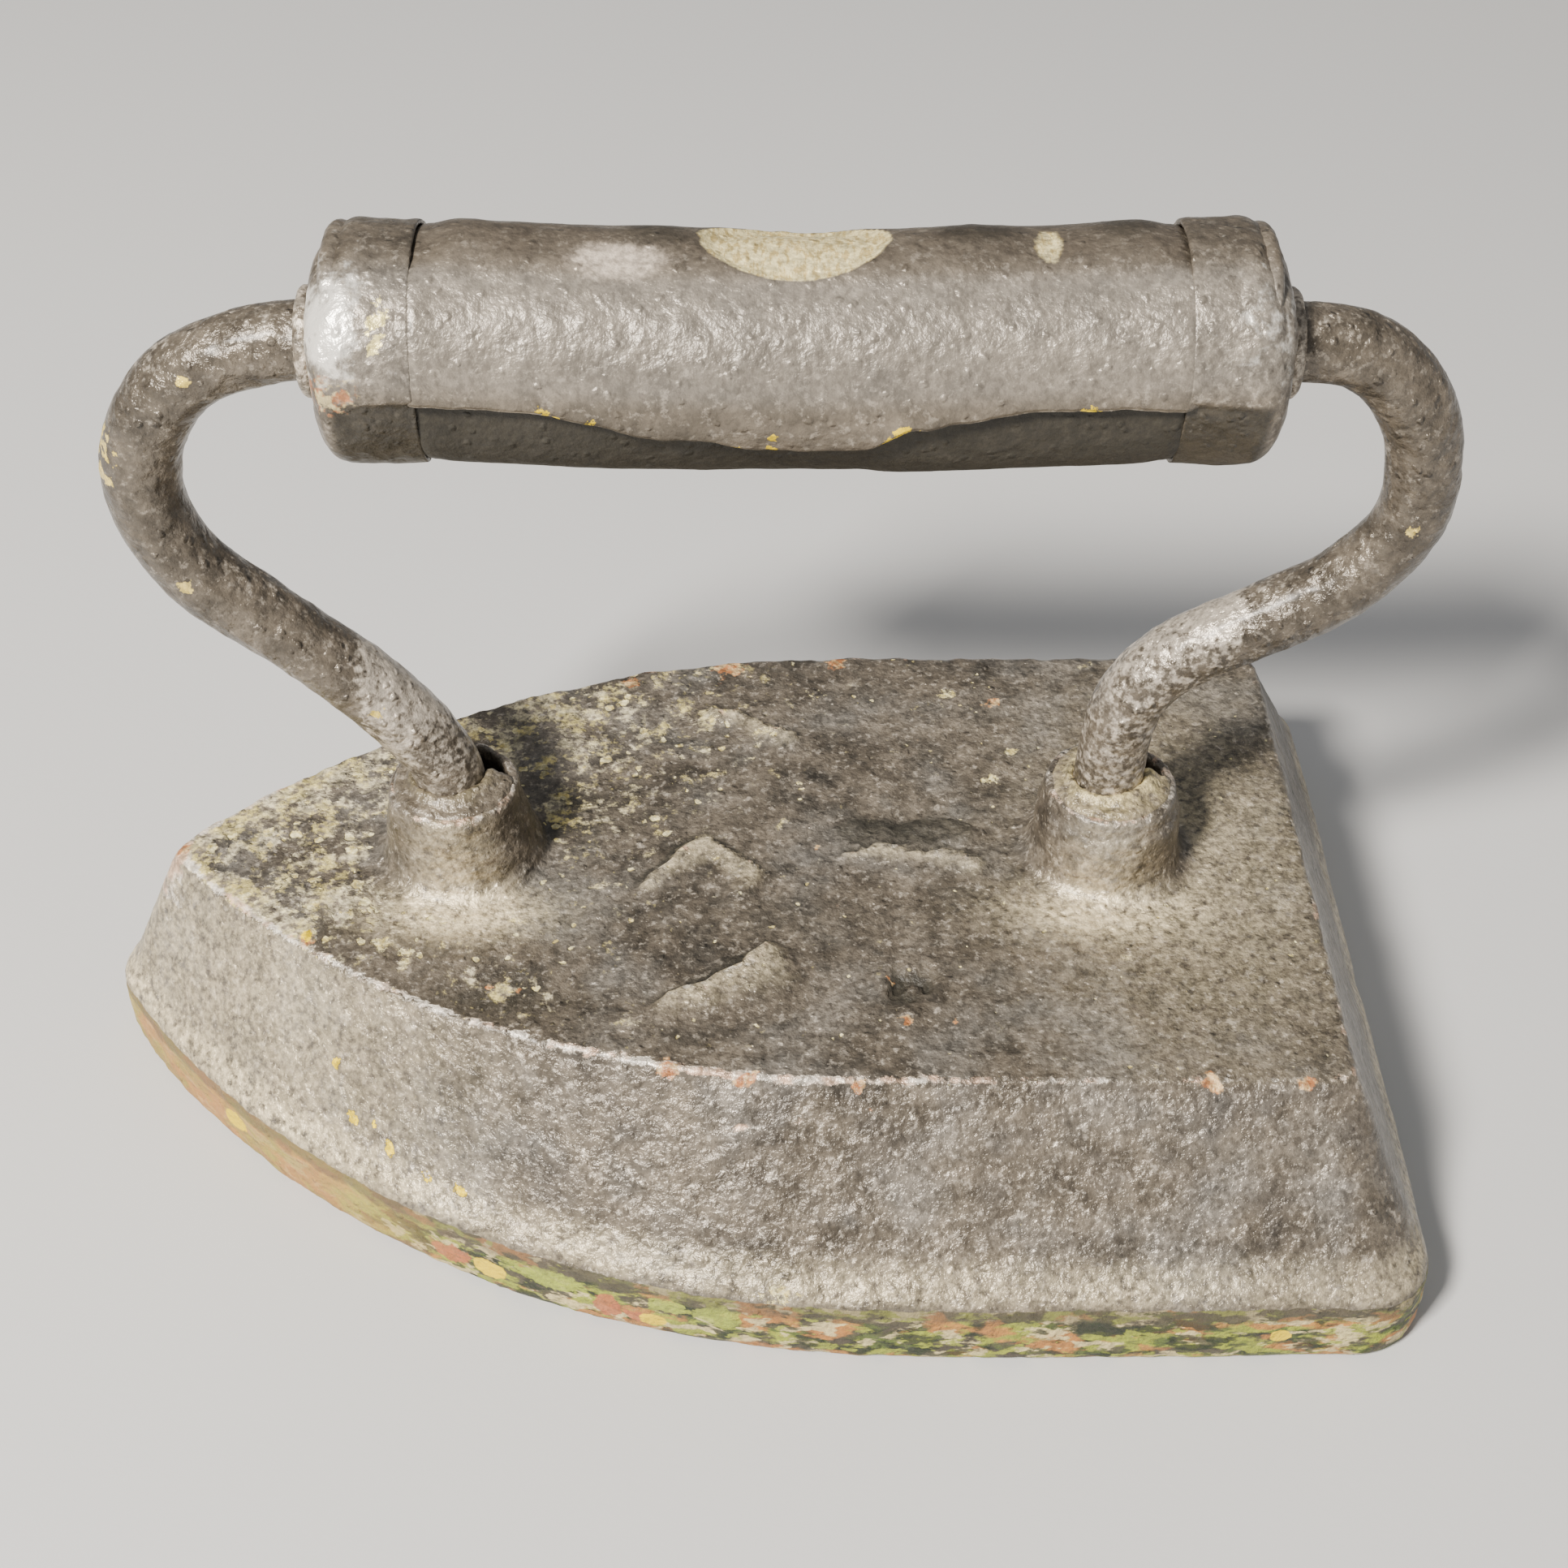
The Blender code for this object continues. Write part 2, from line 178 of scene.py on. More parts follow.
def lattice_noise(points, size, seed=0):
    """Return smooth noise in -1..1 at points, with lumps about size across."""
    scaled = points / size
    cells = np.floor(scaled)
    share = scaled - cells
    share = share * share * (3 - 2 * share)
    cells = cells.astype(np.int64)
    total = np.zeros(len(points))
    for corner in itertools.product((0, 1), repeat=3):
        weight = np.prod(np.where(corner, share, 1 - share), axis=1)
        total += weight * (hashed(cells + corner, seed) * 2 - 1)
    return total


def rough_noise(points, size, seed=0, octaves=3):
    """Return noise in about -1..1 that adds finer and weaker layers."""
    total = np.zeros(len(points))
    for octave in range(octaves):
        total += lattice_noise(points, size / 2 ** octave, seed + octave) * 0.5 ** octave
    return total / 1.5


def round_pits(points, size, seed, filled):
    """Return the depth, 0..1, of scattered round pits, at most one to a cell of the given size."""
    scaled = points / size
    cells = np.floor(scaled).astype(np.int64)
    depth = np.zeros(len(points))
    for offset in itertools.product((-1, 0, 1), repeat=3):
        cell = cells + offset
        middle = cell + np.stack([hashed(cell, seed + axis) for axis in range(3)], axis=1)
        radius = 0.16 + 0.3 * hashed(cell, seed + 3)
        present = hashed(cell, seed + 4) < filled
        reach = np.linalg.norm(scaled - middle, axis=1) / radius
        depth = np.maximum(depth, np.where(present, rise(reach, 1.0, 0.35), 0.0))
    return depth


# ---------------------------------------------------------------- skins


def read_vectors(mesh, name):
    """Return a mesh's vertex vectors as an array with one row for each vertex."""
    flat = np.empty(len(mesh.vertices) * 3, dtype=np.float32)
    mesh.vertices.foreach_get(name, flat)
    return flat.reshape(-1, 3).astype(float)


def add_object(name, data):
    """Add an object that holds data to the scene, and return it."""
    made = bpy.data.objects.new(name, data)
    bpy.context.scene.collection.objects.link(made)
    return made


def even_skin(node, step, relax):
    """Return a node's shape as a mesh of even small faces, slightly eased, its points and normals."""
    carrier = add_object(node + "_carrier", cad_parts[node].data.copy())
    remesh = carrier.modifiers.new("even_faces", "REMESH")
    remesh.mode = "VOXEL"
    remesh.voxel_size = step
    ease = carrier.modifiers.new("ease", "SMOOTH")
    ease.factor = 0.5
    ease.iterations = relax
    evaluated = carrier.evaluated_get(bpy.context.evaluated_depsgraph_get())
    mesh = bpy.data.meshes.new_from_object(evaluated)
    bpy.data.objects.remove(carrier, do_unlink=True)
    return mesh, read_vectors(mesh, "co") / MM, read_vectors(mesh, "normal")


def raised(points, normals, relief):
    """Return points moved out along their normals."""
    return points + normals * relief[:, None]


def set_points(mesh, points):
    """Move a mesh's vertices to points."""
    mesh.vertices.foreach_set("co", (points * MM).astype(np.float32).ravel())
    mesh.update()


def set_masks(mesh, masks):
    """Store named 0..1 masks on a mesh's vertices."""
    for name, values in masks.items():
        attribute = mesh.attributes.new(name, "FLOAT", "POINT")
        attribute.data.foreach_set("value", np.clip(values, 0, 1).astype(np.float32))


def add_piece(name, mesh, material, nodes):
    """Add a piece that stands for frame nodes and rides with the iron."""
    mesh.materials.clear()
    mesh.materials.append(material)
    mesh.shade_smooth()
    piece = add_object(name, mesh)
    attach(piece, "root")
    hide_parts(*nodes)


# ---------------------------------------------------------------- shading


class Wire:
    """An output of a material's nodes, or a number, that Python arithmetic works on."""

    def __init__(self, paintwork, socket):
        self.paintwork = paintwork
        self.socket = socket

    def math(self, operation, *values):
        """Return the result of a Math node on the given values."""
        return self.paintwork.node("ShaderNodeMath", {"operation": operation}, dict(enumerate(values)))

    def __add__(self, other):
        return self.math("ADD", self, other)

    def __sub__(self, other):
        return self.math("SUBTRACT", self, other)

    def __rsub__(self, other):
        return self.math("SUBTRACT", other, self)

    def __mul__(self, other):
        return self.math("MULTIPLY", self, other)

    __radd__ = __add__
    __rmul__ = __mul__

    def most(self, other):
        """Return the larger of two values."""
        return self.math("MAXIMUM", self, other)


class Paintwork:
    """One material's node tree, with the tools that the finishes below are made with."""

    def __init__(self, name):
        self.material = bpy.data.materials.new(name)
        self.material.use_nodes = True
        self.tree = self.material.node_tree
        self.surface = self.tree.nodes["Principled BSDF"]
        self.place = self.node("ShaderNodeTexCoord", output="Object")

    def node(self, kind, settings=None, inputs=None, output=0):
        """Add a node, make its settings, give its inputs values or links, and return an output."""
        made = self.tree.nodes.new(kind)
        for name, value in (settings or {}).items():
            setattr(made, name, value)
        for name, value in (inputs or {}).items():
            self.feed(made.inputs[name], value)
        return Wire(self, made.outputs[output])

    def feed(self, socket, value):
        """Link a wire to a socket, or set the socket to a number or a colour."""
        if isinstance(value, Wire):
            self.tree.links.new(value.socket, socket)
        elif isinstance(value, (int, float)):
            socket.default_value = value
        else:
            size = len(socket.default_value)
            socket.default_value = tuple(value)[:size] + (1.0,) * (size - len(value))

    def mix(self, share, first, second, blend="MIX"):
        """Return a colour between first and second."""
        settings = {"data_type": "RGBA", "blend_type": blend}
        return self.node("ShaderNodeMix", settings, {0: share, 6: first, 7: second}, output=2)

    def vector(self, operation, first, second):
        """Return the result of a Vector Math node on two vectors."""
        return self.node("ShaderNodeVectorMath", {"operation": operation}, {0: first, 1: second})

    def noise(self, size, detail=3.0, roughness=0.55, at=None, output=0):
        """Return noise with lumps about size across."""
        inputs = {"Vector": at or self.place, "Scale": 1 / (size * MM), "Detail": detail,
                  "Roughness": roughness}
        return self.node("ShaderNodeTexNoise", None, inputs, output)

    def cells(self, size, at=None):
        """Return the distance from the middles of cells about size across."""
        inputs = {"Vector": at or self.place, "Scale": 1 / (size * MM)}
        return self.node("ShaderNodeTexVoronoi", None, inputs, "Distance")

    def wobbled(self, size, amount):
        """Return the surface's place, shifted by noise."""
        centred = self.vector("SUBTRACT", self.noise(size, 2.0, output="Color"), (0.5, 0.5, 0.5))
        return self.vector("ADD", self.place, self.vector("MULTIPLY", centred, (amount * MM,) * 3))

    def rise(self, value, low, high):
        """Return 0 below low, 1 above high and a smooth rise between."""
        inputs = {"Value": value, "From Min": low, "From Max": high}
        return self.node("ShaderNodeMapRange", {"interpolation_type": "SMOOTHSTEP"}, inputs)

    def patches(self, low, high, *settings, **named):
        """Return a mask of the noise with the given settings, which rises from low to high."""
        return self.rise(self.noise(*settings, **named), low, high)

    def mask(self, name):
        """Return a mask that the mesh holds."""
        return self.node("ShaderNodeAttribute", {"attribute_name": name}, output="Fac")

    def bump(self, height, distance, over=None):
        """Return a normal that height in 0..1 raises by distance."""
        inputs = {"Height": height, "Distance": distance * MM}
        if over:
            inputs["Normal"] = over
        return self.node("ShaderNodeBump", None, inputs)

    def finish(self, colour, roughness, metallic, normal, coat=0.0):
        """Feed the surface and return the material."""
        self.feed(self.surface.inputs["Base Color"], colour)
        self.feed(self.surface.inputs["Roughness"], roughness)
        self.feed(self.surface.inputs["Metallic"], metallic)
        self.feed(self.surface.inputs["Normal"], normal)
        self.feed(self.surface.inputs["Coat Weight"], coat)
        self.surface.inputs["Coat Roughness"].default_value = 0.25
        return self.material


def top_coat(work, colours, patch_size=16, contrast=1.0):
    """Return the colour of the mottled grey top coat, with painted glints, before chips, dirt and painted
    shade.
    """
    patches = work.patches(0.36, 0.66, patch_size, 4.0)
    mottle = work.patches(0.36, 0.66, 3.2, 5.0, 0.6)
    colour = work.mix(patches * 0.35 + mottle * 0.50 * contrast, colours.paint, colours.paint_dark)
    glints = work.patches(0.54, 0.64, 1.1, 5.0, 0.7)
    return work.mix(glints * 0.36 * contrast, colour, colours.paint_pale)


def grained(work, colour, amount):
    """Return a colour with fine light and dark grains, like paint on a rough casting."""
    grain = work.patches(0.38, 0.62, 0.8, 3.0, 0.6)
    coarse = work.patches(0.36, 0.64, 2.0, 4.0, 0.65)
    return work.mix(amount, colour, 0.42 + grain * 0.75 + coarse * 0.42, blend="MULTIPLY")


def chips(work, amount, size, softness=0.05, shift=0.0):
    """Return a mask of ragged chips that grow with amount, which is 0..1."""
    at = work.vector("ADD", work.place, (shift, shift * 0.7, -shift))
    ragged = work.noise(size, 4.0, 0.6, at=at)
    return work.rise(ragged + amount * 0.5, 0.80 - softness, 0.80 + softness)


def paint_relief(work, coarse=1.0, fine=1.0, dots=1.0):
    """Return a normal with the top coat's lumps, its raised dots, brush dimples and grit."""
    lumps = work.bump(work.noise(3.0, 1.0), 0.55 * coarse)
    pimples = work.rise(work.cells(2.0, at=work.wobbled(1.5, 0.8)), 0.30, 0.05)
    dotted = work.bump(pimples, 0.16 * dots, over=lumps)
    dimples = work.bump(work.noise(0.95, 3.0, 0.5), 0.36 * fine, over=dotted)
    return work.bump(work.noise(0.36, 2.0, 0.6), 0.09 * fine, over=dimples)


# ---------------------------------------------------------------- finishes


def sole_edge_colour(work, colours):
    """Return the colour of the sole's edge, where coats of many ages show in smeared blotches."""
    flat = work.vector("MULTIPLY", work.place, (0.42, 0.5, 1.0))
    dark_green = (0.010, 0.018, 0.007)
    light_green = (0.32, 0.36, 0.035)
    tan = (0.48, 0.20, 0.045)
    zones = work.patches(0.42, 0.58, 14, 2.0)
    colour = work.mix(work.patches(0.40, 0.58, 2.0, 4.0, 0.6, at=flat),
                      dark_green, colours.green)
    layers = (
        (3.4, 0.51, 0.05, (0.070, 0.056, 0.038), 0.02), (2.2, 0.52, 0.04, light_green, -0.05),
        (3.0, 0.55, 0.04, tan, 0.06), (1.7, 0.57, 0.03, colours.cream, 0.03),
        (2.4, 0.56, 0.03, dark_green, -0.06), (1.3, 0.61, 0.03, light_green, 0.0))
    for index, (size, level, softness, layer, leaning) in enumerate(layers):
        at = work.vector("ADD", flat, (0.13 * (index + 1), 0.31, 0.17 * index))
        ragged = work.noise(size, 4.0, 0.55, at=at) + (zones - 0.5) * leaning
        colour = work.mix(work.rise(ragged, level - softness, level + softness) * 0.88, colour, layer)
    ragged_edge = (work.noise(1.3, 4.0) - 0.5) * 0.9
    greener = work.rise(work.mask("band_green") + ragged_edge, 0.40, 0.52)
    colour = work.mix(greener * 0.85, colour, (0.36, 0.42, 0.05))
    redder = work.rise(work.mask("band_red") + ragged_edge, 0.42, 0.54)
    colour = work.mix(redder * 0.9, colour, (0.45, 0.13, 0.05))
    grit = work.patches(0.40, 0.64, 0.6, 3.0, 0.7)
    colour = work.mix(grit * 0.30, colour, colours.paint_dark)
    toe_side = work.rise(work.mask("toe_side"), 0.1, 0.9)
    toe_mottle = work.patches(0.42, 0.58, 3.4, 4.0, at=flat)
    toe_tone = work.mix(toe_mottle, (0.46, 0.23, 0.07), (0.38, 0.28, 0.06))
    colour = work.mix(toe_side * 0.80, colour, toe_tone)
    upper = work.rise(work.mask("sole_edge_upper") + (work.noise(2.2, 4.0) - 0.5), 0.35, 0.75)
    colour = work.mix(upper * 0.6, colour, (0.080, 0.064, 0.042))
    golden = work.rise(work.mask("band_yellow") + ragged_edge * 0.5, 0.40, 0.50)
    return work.mix(golden, colour, colours.yellow)


def body_finish(colours):
    """Return the body's finish: grey paint on pitted casting, chipped to older coats."""
    work = Paintwork("body_painted_casting")
    speckle = work.mask("speckle")
    top = work.mask("top_face")
    colour = top_coat(work, colours, contrast=1.3)
    blotches = work.patches(0.47, 0.61, 5.0, 5.0, 0.62)
    colour = work.mix(top * (0.02 + blotches * 0.42), colour, (0.050, 0.047, 0.041))
    wall_patches = work.patches(0.48, 0.64, 8.0, 5.0, 0.6)
    colour = work.mix((1 - top) * wall_patches * 0.34, colour, (0.080, 0.074, 0.070))
    hazy = work.patches(0.46, 0.68, 12, 4.0, 0.55)
    colour = work.mix(hazy * 0.26, colour, (0.34, 0.325, 0.30))
    # Painted shade: shadows on the top face, in its hollows and behind the crests, the heel's wall and the
    # socket cups, with dark lumps and pits.
    grime = work.mask("grime")
    colour = work.mix(grime * 0.9, colour, colours.shadow)
    # Cream dirt, and painted highlights round the feet of the bosses, on the crest above the sole's edge
    # and on the toe's wall.
    dusty = work.mask("dust") * work.patches(0.30, 0.58, 1.2, 5.0, 0.7)
    colour = work.mix(dusty * 0.90, colour, (0.88, 0.75, 0.49))
    olive = work.mix(work.patches(0.4, 0.6, 4, 3.0), (0.64, 0.57, 0.38), (0.62, 0.52, 0.20))
    small_flecks = chips(work, speckle * 0.62, 1.3, 0.06, 0.9)
    colour = work.mix(small_flecks * 0.8, colour, olive)
    clusters = work.patches(0.44, 0.58, 5.0, 3.0)
    reach = speckle * clusters * 0.50 - work.cells(2.5, at=work.wobbled(1.4, 1.3))
    spots = work.rise(reach, -0.05, 0.02).most(chips(work, work.mask("pale_spots"), 1.1, 0.05, 0.5))
    blots = chips(work, speckle * 0.84, 3.0, 0.06)
    blot_colour = work.mix(work.patches(0.46, 0.62, 0.9, 3.0), olive, colours.paint)
    colour = work.mix(blots * 0.80, colour, blot_colour)
    spot_colour = work.mix(work.patches(0.40, 0.62, 1.0, 3.0), (0.78, 0.70, 0.40),
                           (0.52, 0.42, 0.15))
    colour = work.mix(spots * 0.92, colour, spot_colour)
    worn = chips(work, work.mask("worn"), 1.5, 0.10, 0.2)
    worn_tone = work.mix(work.patches(0.44, 0.58, 5.0, 4.0), (0.70, 0.64, 0.55),
                         (0.62, 0.41, 0.28))
    colour = work.mix(worn * 0.85, colour, worn_tone)
    rusty = chips(work, work.mask("rust"), 1.7, 0.05, 0.4)
    rust_tone = work.mix(work.patches(0.40, 0.60, 1.1, 3.0), colours.rust, (0.62, 0.42, 0.20))
    colour = work.mix(rusty * 0.9, colour, rust_tone)
    golden = chips(work, work.mask("yellow_chips"), 1.3, 0.03, 0.6)
    colour = work.mix(golden, colour, colours.yellow)
    edge_line = work.mask("sole_edge") + (work.noise(2.4, 4.0) - 0.5) * 1.1
    edge = work.rise(edge_line, 0.42, 0.56)
    colour = grained(work, colour, 0.80 - dusty * 0.25)
    colour = work.mix(edge, colour, sole_edge_colour(work, colours))
    bare_paint = 1 - edge.most(rusty).most(golden).most(blots).most(spots).most(grime * 0.8)
    roughness = 0.20 + work.noise(1.6, 4.0) * 0.32 + dusty * 0.14 + edge * 0.18 + grime * 0.2
    normal = paint_relief(work, 1.1, 1.0)
    chip_step = work.bump(1 - blots.most(worn).most(golden).most(spots), 0.12, over=normal)
    return work.finish(colour, roughness, bare_paint * 0.36, chip_step, coat=bare_paint * 0.18)


def bar_finish(colours):
    """Return the bar's finish: thick satin paint over hammered iron, with cream specks."""
    work = Paintwork("bar_painted_iron")
    colour = top_coat(work, colours, 11, 1.1)
    grime = work.patches(0.44, 0.66, 5, 4.0)
    colour = work.mix(0.26 + grime * 0.48, colour, colours.paint_dark)
    worn = chips(work, work.mask("worn"), 0.9, 0.12)
    colour = work.mix(worn * 0.75, colour, colours.paint_pale)
    flecks = chips(work, work.mask("flecks"), 1.2, 0.03, 0.3)
    colour = work.mix(flecks, colour, work.mix(work.noise(3), colours.cream, colours.yellow))
    colour = grained(work, colour, 0.55)
    roughness = 0.20 + work.noise(1.4, 4.0) * 0.26
    return work.finish(colour, roughness, 0.38, paint_relief(work, 1.4, 0.9, 1.6), coat=0.2)


def sleeve_finish(colours):
    """Return the grip's finish: smooth grey paint, lightened in front as painted light, darker and browner
    above and dark below as painted shade.
    """
    work = Paintwork("sleeve_painted_sheet")
    colour = top_coat(work, colours, 22, 0.75)
    front = work.mask("front")
    # Painted light: the front of the grip, which faces the key, is lightened.
    colour = work.mix(front * 0.30, colour, (0.36, 0.335, 0.30))
    # Painted shade: the top of the grip is darkened and browned.
    over_top = work.mask("upper")
    patches = work.patches(0.38, 0.60, 7.0, 4.0)
    colour = work.mix(over_top * (0.34 + patches * 0.42), colour, (0.058, 0.045, 0.032))
    # Painted shade: the underside is darkened nearly to black.
    colour = work.mix(work.mask("under") * 0.94, colour, (0.013, 0.011, 0.006))
    # Painted shade under the lap and inside the sheet, with darker patches elsewhere.
    colour = work.mix(work.mask("grime") * 0.85, colour, colours.shadow)
    mottle = work.patches(0.28, 0.60, 0.9, 5.0, 0.7)
    scratches = work.noise(1.0, 4.0, 0.7, at=work.vector("MULTIPLY", work.place, (1.6, 0.5, 0.5)))
    worn = work.rise(work.mask("worn") + (work.noise(1.8, 4.0, 0.6) - 0.5) * 0.7, 0.30, 0.62)
    cream = work.mix(work.rise(scratches, 0.44, 0.60), (0.92, 0.80, 0.43), (0.60, 0.46, 0.19))
    colour = work.mix(worn * (0.62 + mottle * 0.38), colour, cream)
    rosy = work.rise(work.mask("rosy") + (work.noise(1.6, 4.0, 0.6) - 0.5) * 0.8, 0.15, 1.0)
    colour = work.mix(rosy * (0.35 + mottle * 0.45), colour, (0.78, 0.66, 0.54))
    golden = chips(work, work.mask("yellow_chips"), 0.9, 0.02)
    colour = work.mix(golden, colour, colours.yellow)
    colour = grained(work, colour, 0.45)
    roughness = 0.27 + work.noise(1.2, 4.0) * 0.24 + over_top * 0.06 + worn * 0.12
    lit = 1 - work.mask("under")
    return work.finish(colour, roughness + work.mask("under") * 0.2, lit * 0.36,
                       paint_relief(work, 0.7, 0.55, 0.9), coat=lit * 0.16)


def cap_finish(colours):
    """Return the end caps' finish: grey paint with painted highlights at the corners, painted light in
    front, painted shade above and below, and chips.
    """
    work = Paintwork("cap_painted_sheet")
    colour = top_coat(work, colours, 12)
    # Painted light in front; painted shade above and below.
    colour = work.mix(work.mask("front") * 0.30, colour, (0.36, 0.335, 0.30))
    colour = work.mix(work.mask("upper") * 0.45, colour, colours.paint_dark)
    colour = work.mix(work.mask("under") * 0.90, colour, (0.016, 0.013, 0.007))
    # A painted highlight on the rounded corner that faces the key.
    rubbed = chips(work, work.mask("rubbed"), 1.8, 0.14)
    rusty = chips(work, work.mask("rust"), 1.0, 0.08, 0.4)
    rust_tone = work.mix(work.patches(0.42, 0.58, 1.2, 3.0), colours.rust, colours.cream)
    colour = work.mix(rusty * 0.75, colour, rust_tone)
    golden = chips(work, work.mask("yellow_chips"), 1.6, 0.03, 0.2)
    colour = work.mix(golden, colour, (0.70, 0.60, 0.26))
    colour = grained(work, colour, 0.6)
    # The painted highlight on the corner goes on last, over the grain.
    colour = work.mix(rubbed * 0.9, colour, (0.90, 0.87, 0.80))
    lit = 1 - work.mask("under")
    roughness = 0.28 + work.noise(1.2, 4.0) * 0.24 - rubbed * 0.10
    return work.finish(colour, roughness, lit * 0.36, paint_relief(work, 0.9, 0.6, 0.9), coat=lit * 0.2)


def collar_finish(colours):
    """Return the rings' finish: paint worn through to pale metal round the edge."""
    work = Paintwork("collar_worn_iron")
    colour = top_coat(work, colours, 8)
    worn = work.patches(0.40, 0.58, 1.6, 5.0, 0.7)
    colour = work.mix(worn * 0.7, colour, colours.paint_pale)
    grime = work.patches(0.50, 0.70, 3.5, 3.0)
    colour = work.mix(grime * 0.7, colour, colours.paint_dark)
    return work.finish(grained(work, colour, 0.6), 0.34 + worn * 0.12, 0.3, paint_relief(work), coat=0.1)


def packing_finish(colours):
    """Return the packing's finish: rough metal putty under chipped paint and cream dust."""
    work = Paintwork("packing_rammed_metal")
    colour = top_coat(work, colours, 6)
    dusty = work.mask("dust") * work.patches(0.30, 0.60, 1.6, 5.0, 0.7)
    colour = work.mix(dusty * 0.9, colour, (0.80, 0.67, 0.34))
    colour = grained(work, colour, 0.6)
    return work.finish(colour, 0.32 + dusty * 0.2, 0.25, paint_relief(work, 1.4, 1.1), coat=0.1)


# ---------------------------------------------------------------- body


def hump(value, middle, half):
    """Return a soft rise and fall along one axis, 1 at its middle."""
    return np.exp(-((value - middle) / half) ** 2)


def blob(x, y, centre_x, centre_y, wide, deep=None):
    """Return a soft spot, 1 at its centre, with the given half-widths."""
    return hump(x, centre_x, wide) * hump(y, centre_y, deep or wide)


def spots(x, y, rows):
    """Return a mask of soft spots, each as its centre and its half-widths."""
    return np.max([blob(x, y, *row) for row in rows], axis=0)


def oval_reach(x, y, centre_x, centre_y, wide, deep):
    """Return the distance from an oval's centre, 1 at its edge."""
    return np.hypot((x - centre_x) / wide, (y - centre_y) / deep)


def ramp_mark(x, y, start, end, width):
    """Return two masks of a worn wedge: its slope before a crest, and the step behind, darkened as painted
    shadow.
    """
    along = np.array(end) - np.array(start)
    length = np.linalg.norm(along)
    along /= length
    share = ((x - start[0]) * along[0] + (y - start[1]) * along[1]) / length
    ahead = (x - start[0]) * along[1] - (y - start[1]) * along[0]
    ends = rise(share, -0.10, 0.12) * rise(share, 1.08, 0.86)
    slope = np.clip(1 - ahead / (width * (0.35 + 0.65 * np.clip(share, 0, 1))), 0, 1)
    # The step behind the crest, which the top face's colour darkens as a painted shadow.
    behind = rise(ahead, -1.9, -0.7) * rise(ahead, 0.1, -0.3)
    return slope * ends * rise(ahead, -0.45, 0.1), ends * behind


def rim_distance(x, y):
    """Return how far points of the top face lie inside its edge."""
    behind_tangent = np.minimum(x - TANGENT_X, 0)
    reach = np.sqrt(np.maximum(SIDE_RADIUS ** 2 - behind_tangent ** 2, 0))
    return np.minimum(reach - SIDE_RADIUS + TOP_HALF_WIDTH - np.abs(y), TOP_HEEL_X - x)


def top_marks(x, y, points):
    """Return the top face's relief, its pale slopes, and its dark: painted shadow behind crests and in the
    hollow, dark lumps and pits.
    """
    ramps = (((-10.0, -28.0), (4.8, -17.4), 9.5, 1.25), ((-12.5, -6.8), (-4.2, 2.2), 6.5, 0.85),
             ((-5.2, 2.2), (3.4, -5.2), 6.5, 0.95), ((-4.2, 28.6), (8.2, 21.0), 6.0, 1.1),
             ((13.0, -0.6), (21.5, 1.2), 5.5, 0.8), ((20.5, 0.2), (31.5, -2.2), 5.5, 0.9))
    wiggle = 1.5 * rough_noise(points, 3.8, 60)
    relief, pale, dark = np.zeros((3, len(points)))
    for start, end, width, height in ramps:
        slope, behind = ramp_mark(x, y + wiggle, start, end, width)
        relief = np.maximum(relief, slope * height)
        pale = np.maximum(pale, slope)
        # The step behind each crest is darkened as a painted shadow.
        dark = np.maximum(dark, behind)
    hollow = blob(x, y, 21.5, 4.4, 11, 4.2)
    lumps = np.zeros(len(points))
    for oval in ((16.6, 3.4, 4.8, 2.9), (25.2, 3.5, 5.8, 3.1)):
        lumps = np.maximum(lumps, rise(oval_reach(x, y + wiggle, *oval), 1.1, 0.75))
    bubbly = 0.5 + 0.5 * lattice_noise(points, 1.9, 61)
    relief += lumps * 1.2 * bubbly - hollow * 0.7
    pitted = blob(x, y, 20.5, -24, 3.6, 2.8)
    holes = rise(lattice_noise(points, 1.9, 62), 0.0, 0.25)
    relief += pitted * (0.5 - 1.9 * holes) - 0.8 * blob(x, y, -31, -26, 13, 4.5)
    # Painted shade in the hollow; the lumps and the pits are dark as well.
    dark = np.maximum(dark, hollow * 0.35 + lumps * (0.85 - 0.35 * bubbly))
    dark = np.maximum(dark, pitted * (0.3 + 1.4 * holes))
    return relief, pale, dark * (1 - 0.7 * pale)


